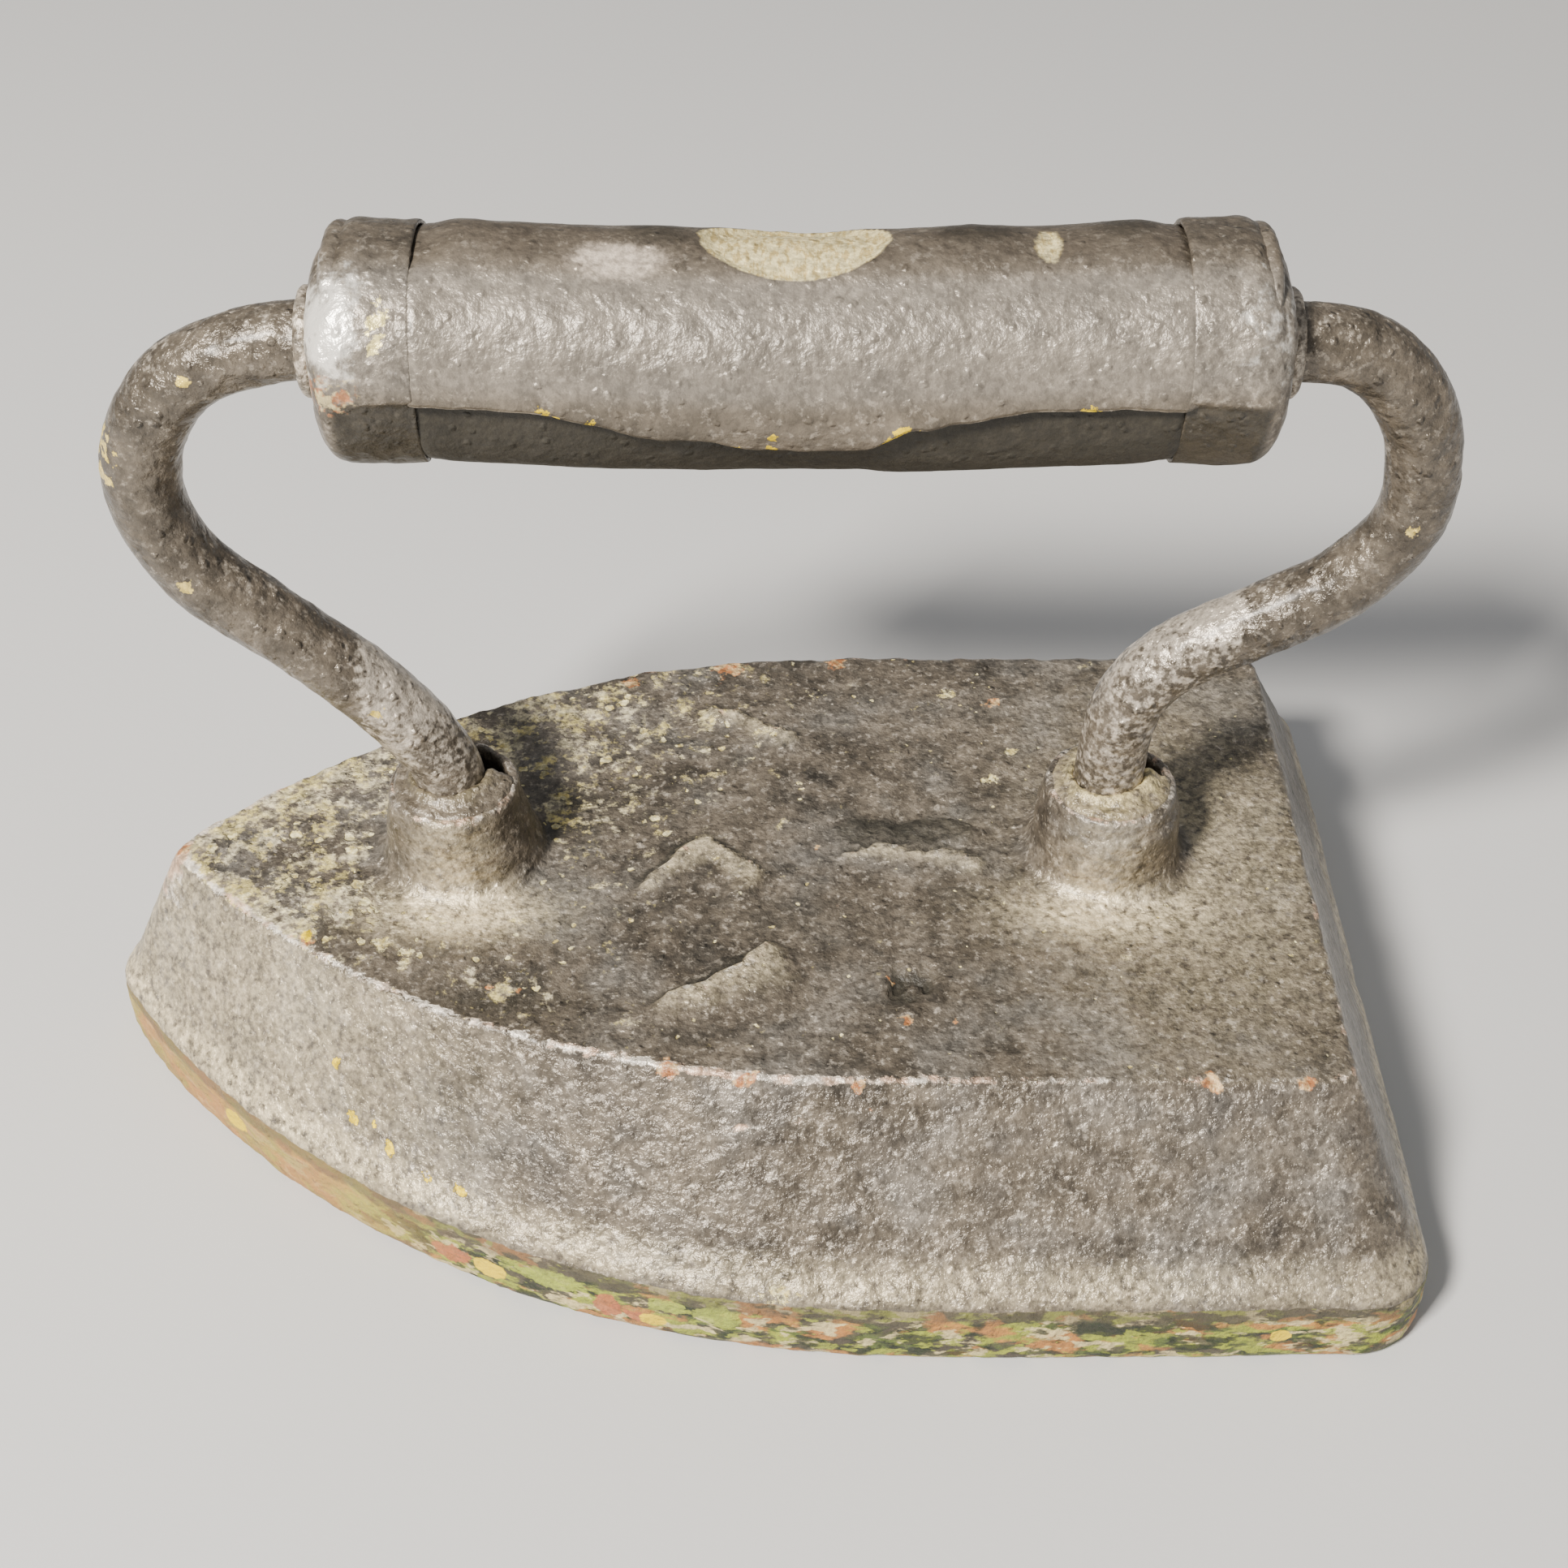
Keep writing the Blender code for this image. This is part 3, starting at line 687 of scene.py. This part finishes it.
def body_relief(points, normals):
    """Return how far each point of the body's skin stands out, and the body's masks."""
    x, y, z = points.T
    upward = normals[:, 2]
    away = np.minimum(np.hypot(x - TOE_BOSS_X, y), np.hypot(x - HEEL_BOSS_X, y))
    on_top = rise(z, TOP_FACE_Z - 0.9, TOP_FACE_Z - 0.3)
    side = 1 - on_top
    flat_top = on_top * rise(away, 10.5, 12.5)
    facing_up = rise(upward, 0.86, 0.985)
    edge = on_top * rise(away, 12, 13) * (1 - rise(upward, 0.90, 0.995)) * rise(upward, 0.60, 0.75)
    band = rise(z, BAND_TOP_Z + 0.9, BAND_TOP_Z - 0.5) * rise(z, 0, 0.6)
    boss = (1 - rise(away, 9.5, 11.5)) * on_top

    marks, slopes, hollows = top_marks(x, y, points)
    grit = rough_noise(points, 1.8, 5)
    pits = round_pits(points, 4.2, 20, 0.5)
    relief = 0.26 * lattice_noise(points, 16, 9) * flat_top + 0.22 * lattice_noise(points, 14, 10) * side
    relief += 0.10 * lattice_noise(points, 4.5, 12) * (side + flat_top)
    relief += grit * (0.15 * flat_top * facing_up + 0.07 * side + 0.20 * boss + 0.16 * band)
    relief += 0.22 * lattice_noise(points, 5, 15) * boss
    relief -= pits * (0.24 * flat_top + 0.12 * side + 0.12 * boss)
    relief += flat_top * facing_up * marks
    ragged = lattice_noise(points, 1.7, 33)
    ridge = 0.55 + 0.45 * lattice_noise(points, 12, 34)
    swollen = blob(x, y, -5, -38.5, 10, 5)
    relief += edge * (0.03 + 0.26 * ridge + 0.24 * ragged + 0.40 * swollen)
    relief *= rise(z, 0.05, 0.9)
    relief += boss * rise(z, TOP_FACE_Z + 9, TOP_FACE_Z + 3) * rise(x - TOE_BOSS_X, 1, 8) * (x < 0)

    inset = rim_distance(x, y)
    patchy = 0.5 + 0.5 * rough_noise(points, 9, 44)
    freckled = rise(x, 22, -30) * (0.30 + 0.70 * rise(y, -10, 8)) * (0.35 + 0.85 * patchy)
    speckle = 0.17 + 0.60 * freckled + 0.42 * blob(x, y, -52, -9, 13, 9)
    speckle += 0.35 * blob(x, y, -28, -24, 6, 2.5) + 0.5 * rise(x, -45, -60) * rise(inset, 6, 2)
    speckle *= flat_top * (1 - 0.8 * np.clip(hollows, 0, 1))

    # Painted highlights, mixed in as cream: a sheen round the feet of the bosses, on the crest above the
    # sole's edge, and on the toe's wall.
    toe_halo = blob(x, y, TOE_BOSS_X + 0.5, -11.6, 9, 3.8)
    heel_halo = blob(x, y, HEEL_BOSS_X - 1.5, -11.5, 10, 4.0)
    footing = 0.45 + 0.55 * rise(away, 8.9, 10.4)
    crest = rise(z, BAND_TOP_Z - 0.2, 10.8) * rise(z, 15, 11.5)
    dust = on_top * (footing * toe_halo * 1.8 + (footing - 0.22) * heel_halo * 1.6)
    dust += crest * (0.18 + 0.42 * patchy)
    dust += flat_top * blob(x, y, 58, -4, 17, 28) * 0.42
    # Painted light on the toe's wall, which faces the key. The heel end of the top face and the ramps'
    # slopes are real cream dirt.
    dust += side * rise(x, -20, -60) * 0.40
    dust = np.maximum(dust, flat_top * rise(slopes, 0.15, 1.0) * (0.38 + 0.55 * patchy))

    # Painted shadows on the top face: beside each boss, in the trough near the front edge and between the
    # bosses.
    shade = 0.9 * blob(x, y, TOE_BOSS_X + 14.5, 7, 7) + 0.75 * blob(x, y, HEEL_BOSS_X + 11.5, 6, 4.5, 7)
    shade += 0.85 * blob(x, y, -30, -26.5, 12, 4.2) + 0.45 * blob(x, y, 6, -13, 14, 4)
    # Painted shade: the shadows above, the marks' dark places, the heel's wall in shade, and on the next
    # line the insides of the socket cups.
    grime = flat_top * np.maximum(shade * 0.85, hollows) + side * rise(x, 72, 75) * 0.30
    grime += boss * rise(7.0 - away, 0, 0.8) * rise(z, body_high.z - 1.2, body_high.z - 4)

    rim = boss * rise(z, body_high.z - 1.6, body_high.z - 0.4)
    front_edge = rise(-y, -20, 0) * rise(x, 45, 5)
    border = rise(z, TOP_FACE_Z - 1.3, TOP_FACE_Z - 0.4) * rise(inset, 2.2, 0.5) * rise(away, 11, 13)
    worn = edge * (0.20 + 0.30 * ridge + 0.28 * front_edge + 0.32 * ragged + 0.4 * swollen)
    worn += border * (0.05 + 0.34 * front_edge * ridge) + rim * 0.52
    worn += flat_top * slopes ** 3 * 0.62
    scratch = hump(z, 25.2 + 0.165 * (x + 3.3), 0.42) * (y < 0)
    worn += scratch * rise(x, -4.5, -2) * rise(x, 10.5, 7) * 0.62
    worn += blob(x, y, -73, 0, 4, 5) * rise(z, 18, 27) * 0.8

    rust = spots(x, y, (
        (34.7, 29.0, 1.5), (9.6, 0.1, 0.9), (20.1, -29.8, 1.1), (-53.1, -15.9, 1.5), (-1.7, 37.0, 3.0),
        (13.1, 38.9, 2.4), (-15.2, 33.6, 1.6), (55, -39.4, 1.7), (66, -39.8, 1.4), (-8.0, -37.4, 1.8),
        (1.0, -38.6, 1.5), (-71.5, 0, 1.6), (25.9, -30.0, 0.7), (14.0, -39.6, 1.0), (18.4, -23.2, 0.7),
        (-30.5, -23.9, 0.9), (-26.5, -24.6, 0.8)))
    rust = np.maximum(rust * rise(z, TOP_FACE_Z - 2.2, TOP_FACE_Z - 1.0), edge * swollen * 0.5)
    near = y < 0
    yellow = np.maximum(blob(x, y, -53.3, -15.6, 1.3) * on_top, near * spots(x, z, (
        (-47.2, 15.5, 0.8, 1.0), (-44.4, 15.9, 0.6, 0.8), (-42.5, 14.5, 0.8, 1.1),
        (-37.5, 13.2, 0.9, 0.8), (-33.5, 13.2, 0.8, 0.7), (-49.2, 20.5, 0.8, 0.8))))
    pale = flat_top * spots(x, y, (
        (-48.6, -12.1, 1.5), (-44.0, -17.0, 1.5), (-53.4, -10.6, 1.5), (-40.8, -19.1, 1.5),
        (-46.2, -11.4, 1.5), (-57.5, -6.5, 1.5), (36.5, 19.0, 1.5), (33.0, 13.5, 1.5),
        (28.5, 31.0, 1.5), (10.2, 31.5, 1.5)))
    pale = np.maximum(pale, near * blob(x, z, 4.0, 10.6, 3.4, 1.4))
    return relief, {
        "top_face": on_top * (1 - boss * 0.5) * rise(upward, 0.5, 0.9),
        "speckle": speckle,
        "dust": dust,
        "grime": grime,
        "worn": worn,
        "rust": rust * 0.9,
        "yellow_chips": yellow * 0.95,
        "pale_spots": pale * 0.75,
        "sole_edge": band,
        "band_yellow": near * spots(x, z, (
            (-30.2, 4.0, 2.4, 1.8), (-64.5, 5.2, 1.7, 1.8), (-10.3, 3.2, 1.9, 1.2), (64.0, 5.0, 1.4, 1.2))),
        "band_red": near * spots(x, z, (
            (-35.0, 4.2, 2.8, 1.8), (-15.7, 4.2, 1.9, 2.2), (-12.0, 3.2, 1.8, 1.0))),
        "band_green": near * spots(x, z, (
            (-22.6, 6.2, 4.6, 1.9), (-2.4, 6.2, 3.4, 2.0), (-48.8, 6.0, 4.6, 2.4), (-8.6, 6.4, 2.8, 1.3))),
        "toe_side": rise(x, -22, -62),
        "sole_edge_upper": rise(z, 5.5, 9.5),
    }


class IRON_OT_body(bpy.types.Operator):
    """Build the cast body's weathered skin"""

    bl_idname = "iron.body"
    bl_label = "Cast Body"

    def execute(self, context):
        mesh, points, normals = even_skin("body_casting", context.scene.iron_sizes.skin_step, 5)
        relief, masks = body_relief(points, normals)
        moved = raised(points, normals, relief)
        moved[:, 2] = np.maximum(moved[:, 2], 0.0)
        set_points(mesh, moved)
        set_masks(mesh, masks)
        finish = body_finish(context.scene.iron_colours)
        add_piece("cast_body", mesh, finish, ["body_casting"])
        return {"FINISHED"}


# ---------------------------------------------------------------- bar


class IRON_OT_bar(bpy.types.Operator):
    """Build the bent bar's hammered and painted skin"""

    bl_idname = "iron.bar"
    bl_label = "Handle Bar"

    def execute(self, context):
        mesh, points, normals = even_skin("handle_rod", context.scene.iron_sizes.fine_step, 3)
        x, z = points[:, 0], points[:, 2]
        along_grip = np.abs(x - GRIP_MIDDLE_X)
        in_grip = rise(along_grip, GRIP_HALF + 2, GRIP_HALF - 1) * rise(z, GRIP_AXIS_Z - 9, GRIP_AXIS_Z - 7)
        above_socket = rise(z, body_high.z + 0.5, body_high.z + 4)
        flats = lattice_noise(points, 7, 71)
        relief = 0.26 * flats + 0.16 * rough_noise(points, 2.4, 72)
        relief -= 0.12 * round_pits(points, 3.6, 75, 0.4)
        set_points(mesh, raised(points, normals, relief * (1 - in_grip) * above_socket))
        neck = rise(along_grip, GRIP_HALF + 2, GRIP_HALF)
        flecks = spots(x, z, ((-70.0, 94.0, 2.6), (-70.0, 90.0, 1.5), (-63.0, 76.0, 1.5),
                              (-59.0, 103.0, 1.2), (-43.5, 57.0, 1.2), (76.0, 84.0, 1.2)))
        set_masks(mesh, {
            "worn": rise(normals[:, 2], 0.2, 0.95) * 0.28 + rise(flats, 0.25, 0.6) * 0.18 + neck * 0.5,
            "flecks": flecks * 0.75,
        })
        finish = bar_finish(context.scene.iron_colours)
        add_piece("handle_bar", mesh, finish, ["handle_rod"])
        return {"FINISHED"}


# ---------------------------------------------------------------- grip


def seam_angle(x):
    """Return the angle of the lap's lip below the front of the grip, along its length."""
    knots = ((-46, -1), (-22, -3), (-6, -17), (6, -24), (13, -23), (19, -7), (30, -2), (58, -2))
    degrees = np.full(len(x), float(knots[0][1]))
    for (start, before), (end, after) in itertools.pairwise(knots):
        degrees += (after - before) * rise(x, start, end)
    return np.radians(degrees)


def past_mouth(x):
    """Return how far points of the sleeve are past the mouth of the nearer cap."""
    return np.minimum(x - sleeve_low.x, sleeve_high.x - x) - CAP_REACH


def sleeve_dents(x, degrees, points):
    """Return the relief of the sleeve, over its length and the angle up from the front."""
    relief = 0.40 * rise(degrees, 62, 76) * rise(degrees, 150, 120)
    for height, *place in (
            (-0.60, -12.2, 78, 5.8, 12), (0.45, -8.2, 102, 4.2, 12), (0.50, 25.0, 100, 4.5, 15),
            (-0.40, 32.7, 90, 2.2, 16), (0.30, 41.0, 102, 3.4, 16), (0.30, -27.0, 100, 5.0, 18)):
        relief += height * blob(x, degrees, *place)
    relief -= 0.80 * rise(oval_reach(x, degrees, *WORN_DENT), 1.05, 0.84)
    relief += 0.13 * lattice_noise(points, 11, 81) + 0.055 * rough_noise(points, 1.9, 82)
    relief -= 0.12 * round_pits(points, 5.0, 83, 0.35)
    relief += 0.12 * round_pits(points, 4.4, 89, 0.4)
    past = past_mouth(x)
    return relief * rise(past, 0.5, 4.5) + 0.20 * hump(past, 0, 3.0) * rise(degrees, 76, 60)


def sleeve_masks(x, degrees, along, points):
    """Return the sleeve's masks from its length, its angle and the way along the sheet."""
    worn = rise(oval_reach(x, degrees, *WORN_DENT), 1.12, 0.90)
    worn = np.maximum(worn, rise(oval_reach(x, degrees, 32.7, 88, 2.2, 20), 1.2, 0.4) * 0.55)
    # Painted shade on the edge tucked under the lap; darker patches on the top's bumps, near the lip and by
    # the caps' mouths.
    grime = rise(along, 6.22, 6.30) * 0.9
    for oval in ((-8.2, 102, 5, 18), (25, 101, 5.2, 18), (41, 103, 3.8, 18)):
        grime = np.maximum(grime, rise(oval_reach(x, degrees, *oval), 1.2, 0.4) * 0.62)
    near_lip = rise(along, 0.26, 0.03) * (0.25 + 0.35 * rough_noise(points, 4, 88))
    grime = np.maximum(grime, near_lip)
    grime = np.maximum(grime, rise(past_mouth(x), 0.9, 0.2) * (degrees > 66) * 0.25)
    upper = rise(degrees, 62, 82) * rise(degrees, 250, 200)
    chips_at = ((-20, 1.6), (-15.2, 1.5), (0, 1.2), (3.7, 1.4), (17, 2.2), (37, 1.2))
    chip = np.max([hump(x, *row) for row in chips_at], axis=0) * rise(along, 0.16, 0.02)
    return {
        "upper": upper * (0.75 + 0.25 * rough_noise(points, 5, 87)),
        "under": rise(degrees, 200, 240),
        "front": rise(degrees, 0, 14) * rise(degrees, 74, 62),
        "worn": worn,
        "rosy": rise(oval_reach(x, degrees, -12.2, 77, 6.8, 14), 1.3, 0.2),
        "grime": grime,
        "yellow_chips": np.maximum(chip * 0.75, blob(x, degrees, 4.0, -13, 0.9, 4) * 0.9),
    }


def quads(first, second):
    """Return the faces between rows of point numbers and the rows beside them."""
    corners = (first[..., :-1], first[..., 1:], second[..., 1:], second[..., :-1])
    return np.stack(corners, axis=-1).reshape(-1, 4)


def build_sleeve_mesh(sizes):
    """Return the rolled sleeve as a closed sheet, with its points' masks."""
    lengthwise = 176
    around = 200
    sheet = sizes.sheet / MM
    radius = (sleeve_high.z - sleeve_low.z) / 2
    overlap = math.radians(25)
    joggle = math.radians(50)
    place = np.linspace(sleeve_low.x, sleeve_high.x, lengthwise)
    travel = np.concatenate([np.linspace(0, 0.12, 8)[:-1], np.linspace(0.12, TAU + overlap, around - 7)])
    x, along = (grid.ravel() for grid in np.meshgrid(place, travel, indexing="ij"))
    places = np.stack([x, x * 0, x * 0], axis=1)
    lip = seam_angle(x) + math.radians(2.2) * rough_noise(places, 4.5, 86)
    angle = lip + along
    past = past_mouth(x)
    behind = 1 - rise(np.degrees(angle), 76, 60)
    tuck = rise(along, TAU - joggle, TAU - 0.03) * (rise(past, -1.5, 5) * 0.55 + 0.45)
    lifted = 0.55 * hump(x, 18.5, 4) * rise(along, 0.30, 0.0) - 0.35 * rise(along, 0.045, 0.0)
    open_half = GRIP_HALF - CAP_LENGTH - 0.5
    sag = sizes.grip_sag / MM * np.clip(1 - ((x - GRIP_MIDDLE_X) / open_half) ** 2, 0, 1)
    slope_end = 0.1 + 0.5 * behind
    necked = sizes.sleeve_necking / MM * rise(past, slope_end, slope_end - 1.4)
    necked += 0.22 * hump(past, 0.9, 1.3) * behind + 1.2 * rise(past + CAP_REACH, 4, 1)
    rows = []
    for depth in (0.0, sheet):
        base = radius - (sheet + sizes.lap_gap / MM) * tuck - depth - necked
        around_points = np.stack([x, -base * np.cos(angle), GRIP_AXIS_Z + base * np.sin(angle)], axis=1)
        if depth == 0.0:
            degrees = np.degrees(np.minimum(angle, lip + TAU - 0.02))
            base = base + sleeve_dents(x, degrees, around_points) * rise(TAU - along, -0.10, 0.10) + lifted
        base = base + 0.10 * lattice_noise(around_points, 9, 90)
        rows.append(np.stack([x, -base * np.cos(angle), GRIP_AXIS_Z + base * np.sin(angle) - sag], axis=1))
    count = len(x)
    index = np.arange(count).reshape(lengthwise, -1)
    outside = quads(index[:-1], index[1:])
    faces = [outside, outside[:, ::-1] + count]
    for line, turned in ((index[:, 0], True), (index[:, -1], False), (index[0], True), (index[-1], False)):
        wall = quads(line, line + count)
        faces.append(wall[:, ::-1] if turned else wall)
    mesh = bpy.data.meshes.new("grip_sleeve_skin")
    mesh.from_pydata((np.concatenate(rows) * MM).tolist(), [], np.concatenate(faces).tolist())
    # The sheet's inside is darkened as painted shade.
    inside = {"under": 1.0, "grime": 0.8}
    masks = sleeve_masks(x, np.degrees(angle), along, rows[0])
    for name, values in masks.items():
        masks[name] = np.concatenate([values, np.full(count, inside.get(name, 0.0))])
    return mesh, masks


class IRON_OT_sleeve(bpy.types.Operator):
    """Build the rolled and dented grip sleeve with its lap seam"""

    bl_idname = "iron.sleeve"
    bl_label = "Grip Sleeve"

    def execute(self, context):
        mesh, masks = build_sleeve_mesh(context.scene.iron_sizes)
        set_masks(mesh, masks)
        finish = sleeve_finish(context.scene.iron_colours)
        add_piece("grip_sleeve_sheet", mesh, finish, ["grip_sleeve"])
        return {"FINISHED"}


def build_cap_mesh(node, step, highlight_and_wear):
    """Return an end cap's dented skin; the last argument gives its corner's painted highlight, and how
    rusty and chipped its front is.
    """
    mesh, points, normals = even_skin(node, step, 3)
    low, high = (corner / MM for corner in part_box(node))
    x, y, z = points.T
    degrees = np.degrees(np.arctan2(z - GRIP_AXIS_Z, -y))
    radial = np.hypot(y, z - GRIP_AXIS_Z)
    outside = rise(radial, sleeve_high.y - 0.3, sleeve_high.y + 0.35)
    inward = np.abs(x - (low.x if high.x < GRIP_MIDDLE_X else high.x))
    wall = np.maximum(outside, rise(inward, 1.6, 0.6))
    blended = rise(degrees, 68, 52) * rise(degrees, -75, -55)
    mouth = rise(inward, 4.0, high.x - low.x)
    drawn_in = np.maximum(radial - sleeve_high.y - 0.14, 0) * mouth * (0.6 + 0.4 * blended)
    crease = rise(degrees, 3, -4) * rise(degrees, -62, -30) * rise(inward, 2.4, 5)
    drawn_in += rise(radial, 10.8, 11.8) * crease * (0.4 + 0.6 * mouth)
    relief = 0.30 * lattice_noise(points, 7, 91) + 0.15 * rough_noise(points, 2.0, 92)
    relief -= 0.16 * round_pits(points, 4.0, 93, 0.4)
    relief *= wall * (1 - 0.8 * mouth * blended)
    corner_dent = rise(inward, 5.0, 0.5) * rise(radial, 8, 12.8)
    relief -= 1.3 * corner_dent * rise(degrees, 25, 75) * rise(degrees, 175, 140)
    outward = np.stack([np.zeros(len(points)), y, z - GRIP_AXIS_Z], axis=1) / radial[:, None]
    set_points(mesh, raised(points, normals, relief) - outward * drawn_in[:, None])
    corner = rise(inward, 8, 4.2)
    turned = np.where(degrees < -90, degrees + 360, degrees)
    below = np.maximum(rise(-degrees, -5, 4) * (turned < 0), rise(turned, 200, 240))
    rubbed, rusty, chipped = highlight_and_wear
    set_masks(mesh, {
        "upper": rise(turned, 55, 85) * rise(turned, 250, 200) * outside,
        "front": rise(degrees, 0, 14) * rise(degrees, 74, 60),
        "under": below * outside,
        # The painted highlight on the corner that faces the key.
        "rubbed": corner * hump(degrees, 38, 26) * rubbed,
        "rust": hump(degrees, 5, 13) * rusty * corner,
        "yellow_chips": blob(inward, degrees, 8, 38, 1.6, 16) * chipped,
    })
    return mesh


class IRON_OT_caps(bpy.types.Operator):
    """Build the two dented end caps of the grip"""

    bl_idname = "iron.caps"
    bl_label = "Grip End Caps"

    def execute(self, context):
        finish = cap_finish(context.scene.iron_colours)
        # For each end: the strength of the painted highlight on the cap's corner, then how rusty and how
        # chipped it is.
        for end, highlight_and_wear in (("toe", (1.0, 0.72, 0.8)), ("heel", (0.45, 0.15, 0.25))):
            node = "grip_end_cap_" + end
            mesh = build_cap_mesh(node, context.scene.iron_sizes.fine_step * 0.8, highlight_and_wear)
            add_piece("end_cap_" + end, mesh, finish, [node])
        return {"FINISHED"}


class IRON_OT_rings(bpy.types.Operator):
    """Build the two rings on the bar beside the grip"""

    bl_idname = "iron.rings"
    bl_label = "Bar Rings"

    def execute(self, context):
        finish = collar_finish(context.scene.iron_colours)
        for end in ("toe", "heel"):
            node = "rod_collar_" + end
            mesh, points, normals = even_skin(node, context.scene.iron_sizes.fine_step * 0.6, 4)
            set_points(mesh, raised(points, normals, 0.14 * rough_noise(points, 2.2, 101)))
            add_piece("bar_ring_" + end, mesh, finish, [node])
        return {"FINISHED"}


class IRON_OT_packings(bpy.types.Operator):
    """Build the rough packing round each foot of the bar"""

    bl_idname = "iron.packings"
    bl_label = "Socket Packings"

    def execute(self, context):
        finish = packing_finish(context.scene.iron_colours)
        for end in ("toe", "heel"):
            node = "socket_packing_" + end
            mesh, points, normals = even_skin(node, context.scene.iron_sizes.fine_step * 0.7, 3)
            low, high = (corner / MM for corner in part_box(node))
            from_foot = points[:, 0] - (low.x + high.x) / 2
            y, z = points[:, 1], points[:, 2]
            grit = 0.22 * lattice_noise(points, 3, 111) + 0.12 * rough_noise(points, 1.3, 112)
            heaped = rise(np.hypot(from_foot, y), 6.8, 4.6)
            facing_foot = normals[:, 0] * from_foot + normals[:, 1] * y < 0
            swell = np.where(facing_foot, 0.8, 0.5 + 0.6 * rise(z, high.z - 2.4, high.z - 1.0))
            moved = raised(points, normals, (1 - np.abs(normals[:, 2])) * swell)
            moved[:, 2] += rise(z, high.z - 2.2, high.z - 0.5) * (0.9 + 1.5 * heaped + grit)
            set_points(mesh, moved)
            set_masks(mesh, {"dust": 0.2 + 0.8 * heaped if end == "heel" else 0.15 * heaped})
            add_piece("packing_" + end, mesh, finish, [node])
        return {"FINISHED"}


# ---------------------------------------------------------------- stage


def add_area_light(name, place, target, size, power, colour):
    """Add a square soft box that faces target."""
    light = bpy.data.lights.new(name, "AREA")
    light.size = size
    light.energy = power
    light.color = colour
    lamp = add_object(name, light)
    lamp.location = place
    lamp.rotation_mode = "QUATERNION"
    lamp.rotation_quaternion = (Vector(target) - Vector(place)).to_track_quat("-Z", "Y")


class IRON_OT_stage(bpy.types.Operator):
    """Build the floor, the lights and the camera"""

    bl_idname = "iron.stage"
    bl_label = "Stage"

    def execute(self, context):
        self.add_floor(context.scene.iron_colours)
        self.add_lights()
        self.add_camera(context.scene.iron_sizes)
        return {"FINISHED"}

    def add_floor(self, colours):
        """Add a pale floor that runs to the horizon."""
        half = 6.0
        mesh = bpy.data.meshes.new("floor")
        corners = [(-half, -half, 0), (half, -half, 0), (half, half, 0), (-half, half, 0)]
        mesh.from_pydata(corners, [], [(0, 1, 2, 3)])
        work = Paintwork("floor_paper")
        tone = work.mix(work.patches(0.3, 0.7, 250, 2.0) * 0.05, colours.floor, (0.5, 0.5, 0.5))
        mesh.materials.append(work.finish(tone, 0.75, 0.0, work.bump(work.noise(1.5), 0.02)))
        floor = add_object("floor", mesh)
        floor.location.z = -0.1 * MM

    def add_lights(self):
        """Add a key at the front left, a fill at the right, a rim behind, and an even sky."""
        middle = (0.0, 0.0, 0.05)
        add_area_light("key", (-0.50, -0.62, 0.85), middle, 0.18, 34.5, (1.0, 0.945, 0.865))
        add_area_light("fill", (0.75, -0.35, 0.55), middle, 0.6, 0.7, (0.98, 0.98, 1.0))
        add_area_light("top", (0.05, 0.30, 0.95), middle, 0.6, 0.9, (1.0, 1.0, 1.0))
        world = bpy.data.worlds.new("studio")
        world.use_nodes = True
        background = world.node_tree.nodes["Background"]
        background.inputs["Color"].default_value = (0.93, 0.94, 0.96, 1.0)
        background.inputs["Strength"].default_value = 0.22
        bpy.context.scene.world = world

    def add_camera(self, sizes):
        """Add the camera at its place, looking down at the iron's near side."""
        heading, pitch, roll = sizes.camera_heading, sizes.camera_pitch, sizes.camera_roll
        level = Vector((-math.sin(heading), math.cos(heading), 0))
        side = Vector((math.cos(heading), math.sin(heading), 0))
        forward = level * math.cos(pitch) - Vector((0, 0, 1)) * math.sin(pitch)
        upward = level * math.sin(pitch) + Vector((0, 0, 1)) * math.cos(pitch)
        right = side * math.cos(roll) + upward * math.sin(roll)
        top = upward * math.cos(roll) - side * math.sin(roll)
        data = bpy.data.cameras.new("camera")
        data.sensor_width = 36.0
        data.lens = sizes.lens
        data.clip_start = 0.01
        camera = add_object("camera", data)
        turn = Matrix((right, top, -forward)).transposed().to_4x4()
        camera.matrix_world = Matrix.Translation(sizes.camera_place) @ turn
        bpy.context.scene.camera = camera


class IRON_PT_panel(bpy.types.Panel):
    """The sad iron's pieces, sizes and colours"""

    bl_idname = "IRON_PT_panel"
    bl_label = "Sad Iron"
    bl_space_type = "VIEW_3D"
    bl_region_type = "UI"
    bl_category = "Sad Iron"

    def draw(self, context):
        for operator in OPERATORS:
            self.layout.operator(operator.bl_idname)
        for settings in (context.scene.iron_sizes, context.scene.iron_colours):
            column = self.layout.column()
            for name in type(settings).__annotations__:
                column.prop(settings, name)


OPERATORS = (IRON_OT_stage, IRON_OT_body, IRON_OT_bar, IRON_OT_sleeve, IRON_OT_caps,
             IRON_OT_rings, IRON_OT_packings)
CLASSES = (IronSizes, IronColours, *OPERATORS, IRON_PT_panel)


def register():
    """Register the classes and hang the settings on the scene."""
    for item in CLASSES:
        bpy.utils.register_class(item)
    bpy.types.Scene.iron_sizes = PointerProperty(type=IronSizes)
    bpy.types.Scene.iron_colours = PointerProperty(type=IronColours)


def unregister():
    """Take the settings off the scene and unregister the classes."""
    del bpy.types.Scene.iron_colours
    del bpy.types.Scene.iron_sizes
    for item in reversed(CLASSES):
        bpy.utils.unregister_class(item)


def main():
    """Build the stage and every piece."""
    register()
    bpy.ops.iron.stage()
    bpy.ops.iron.body()
    bpy.ops.iron.bar()
    bpy.ops.iron.sleeve()
    bpy.ops.iron.caps()
    bpy.ops.iron.rings()
    bpy.ops.iron.packings()
    bpy.context.view_layer.update()


if __name__ == "__main__":
    main()
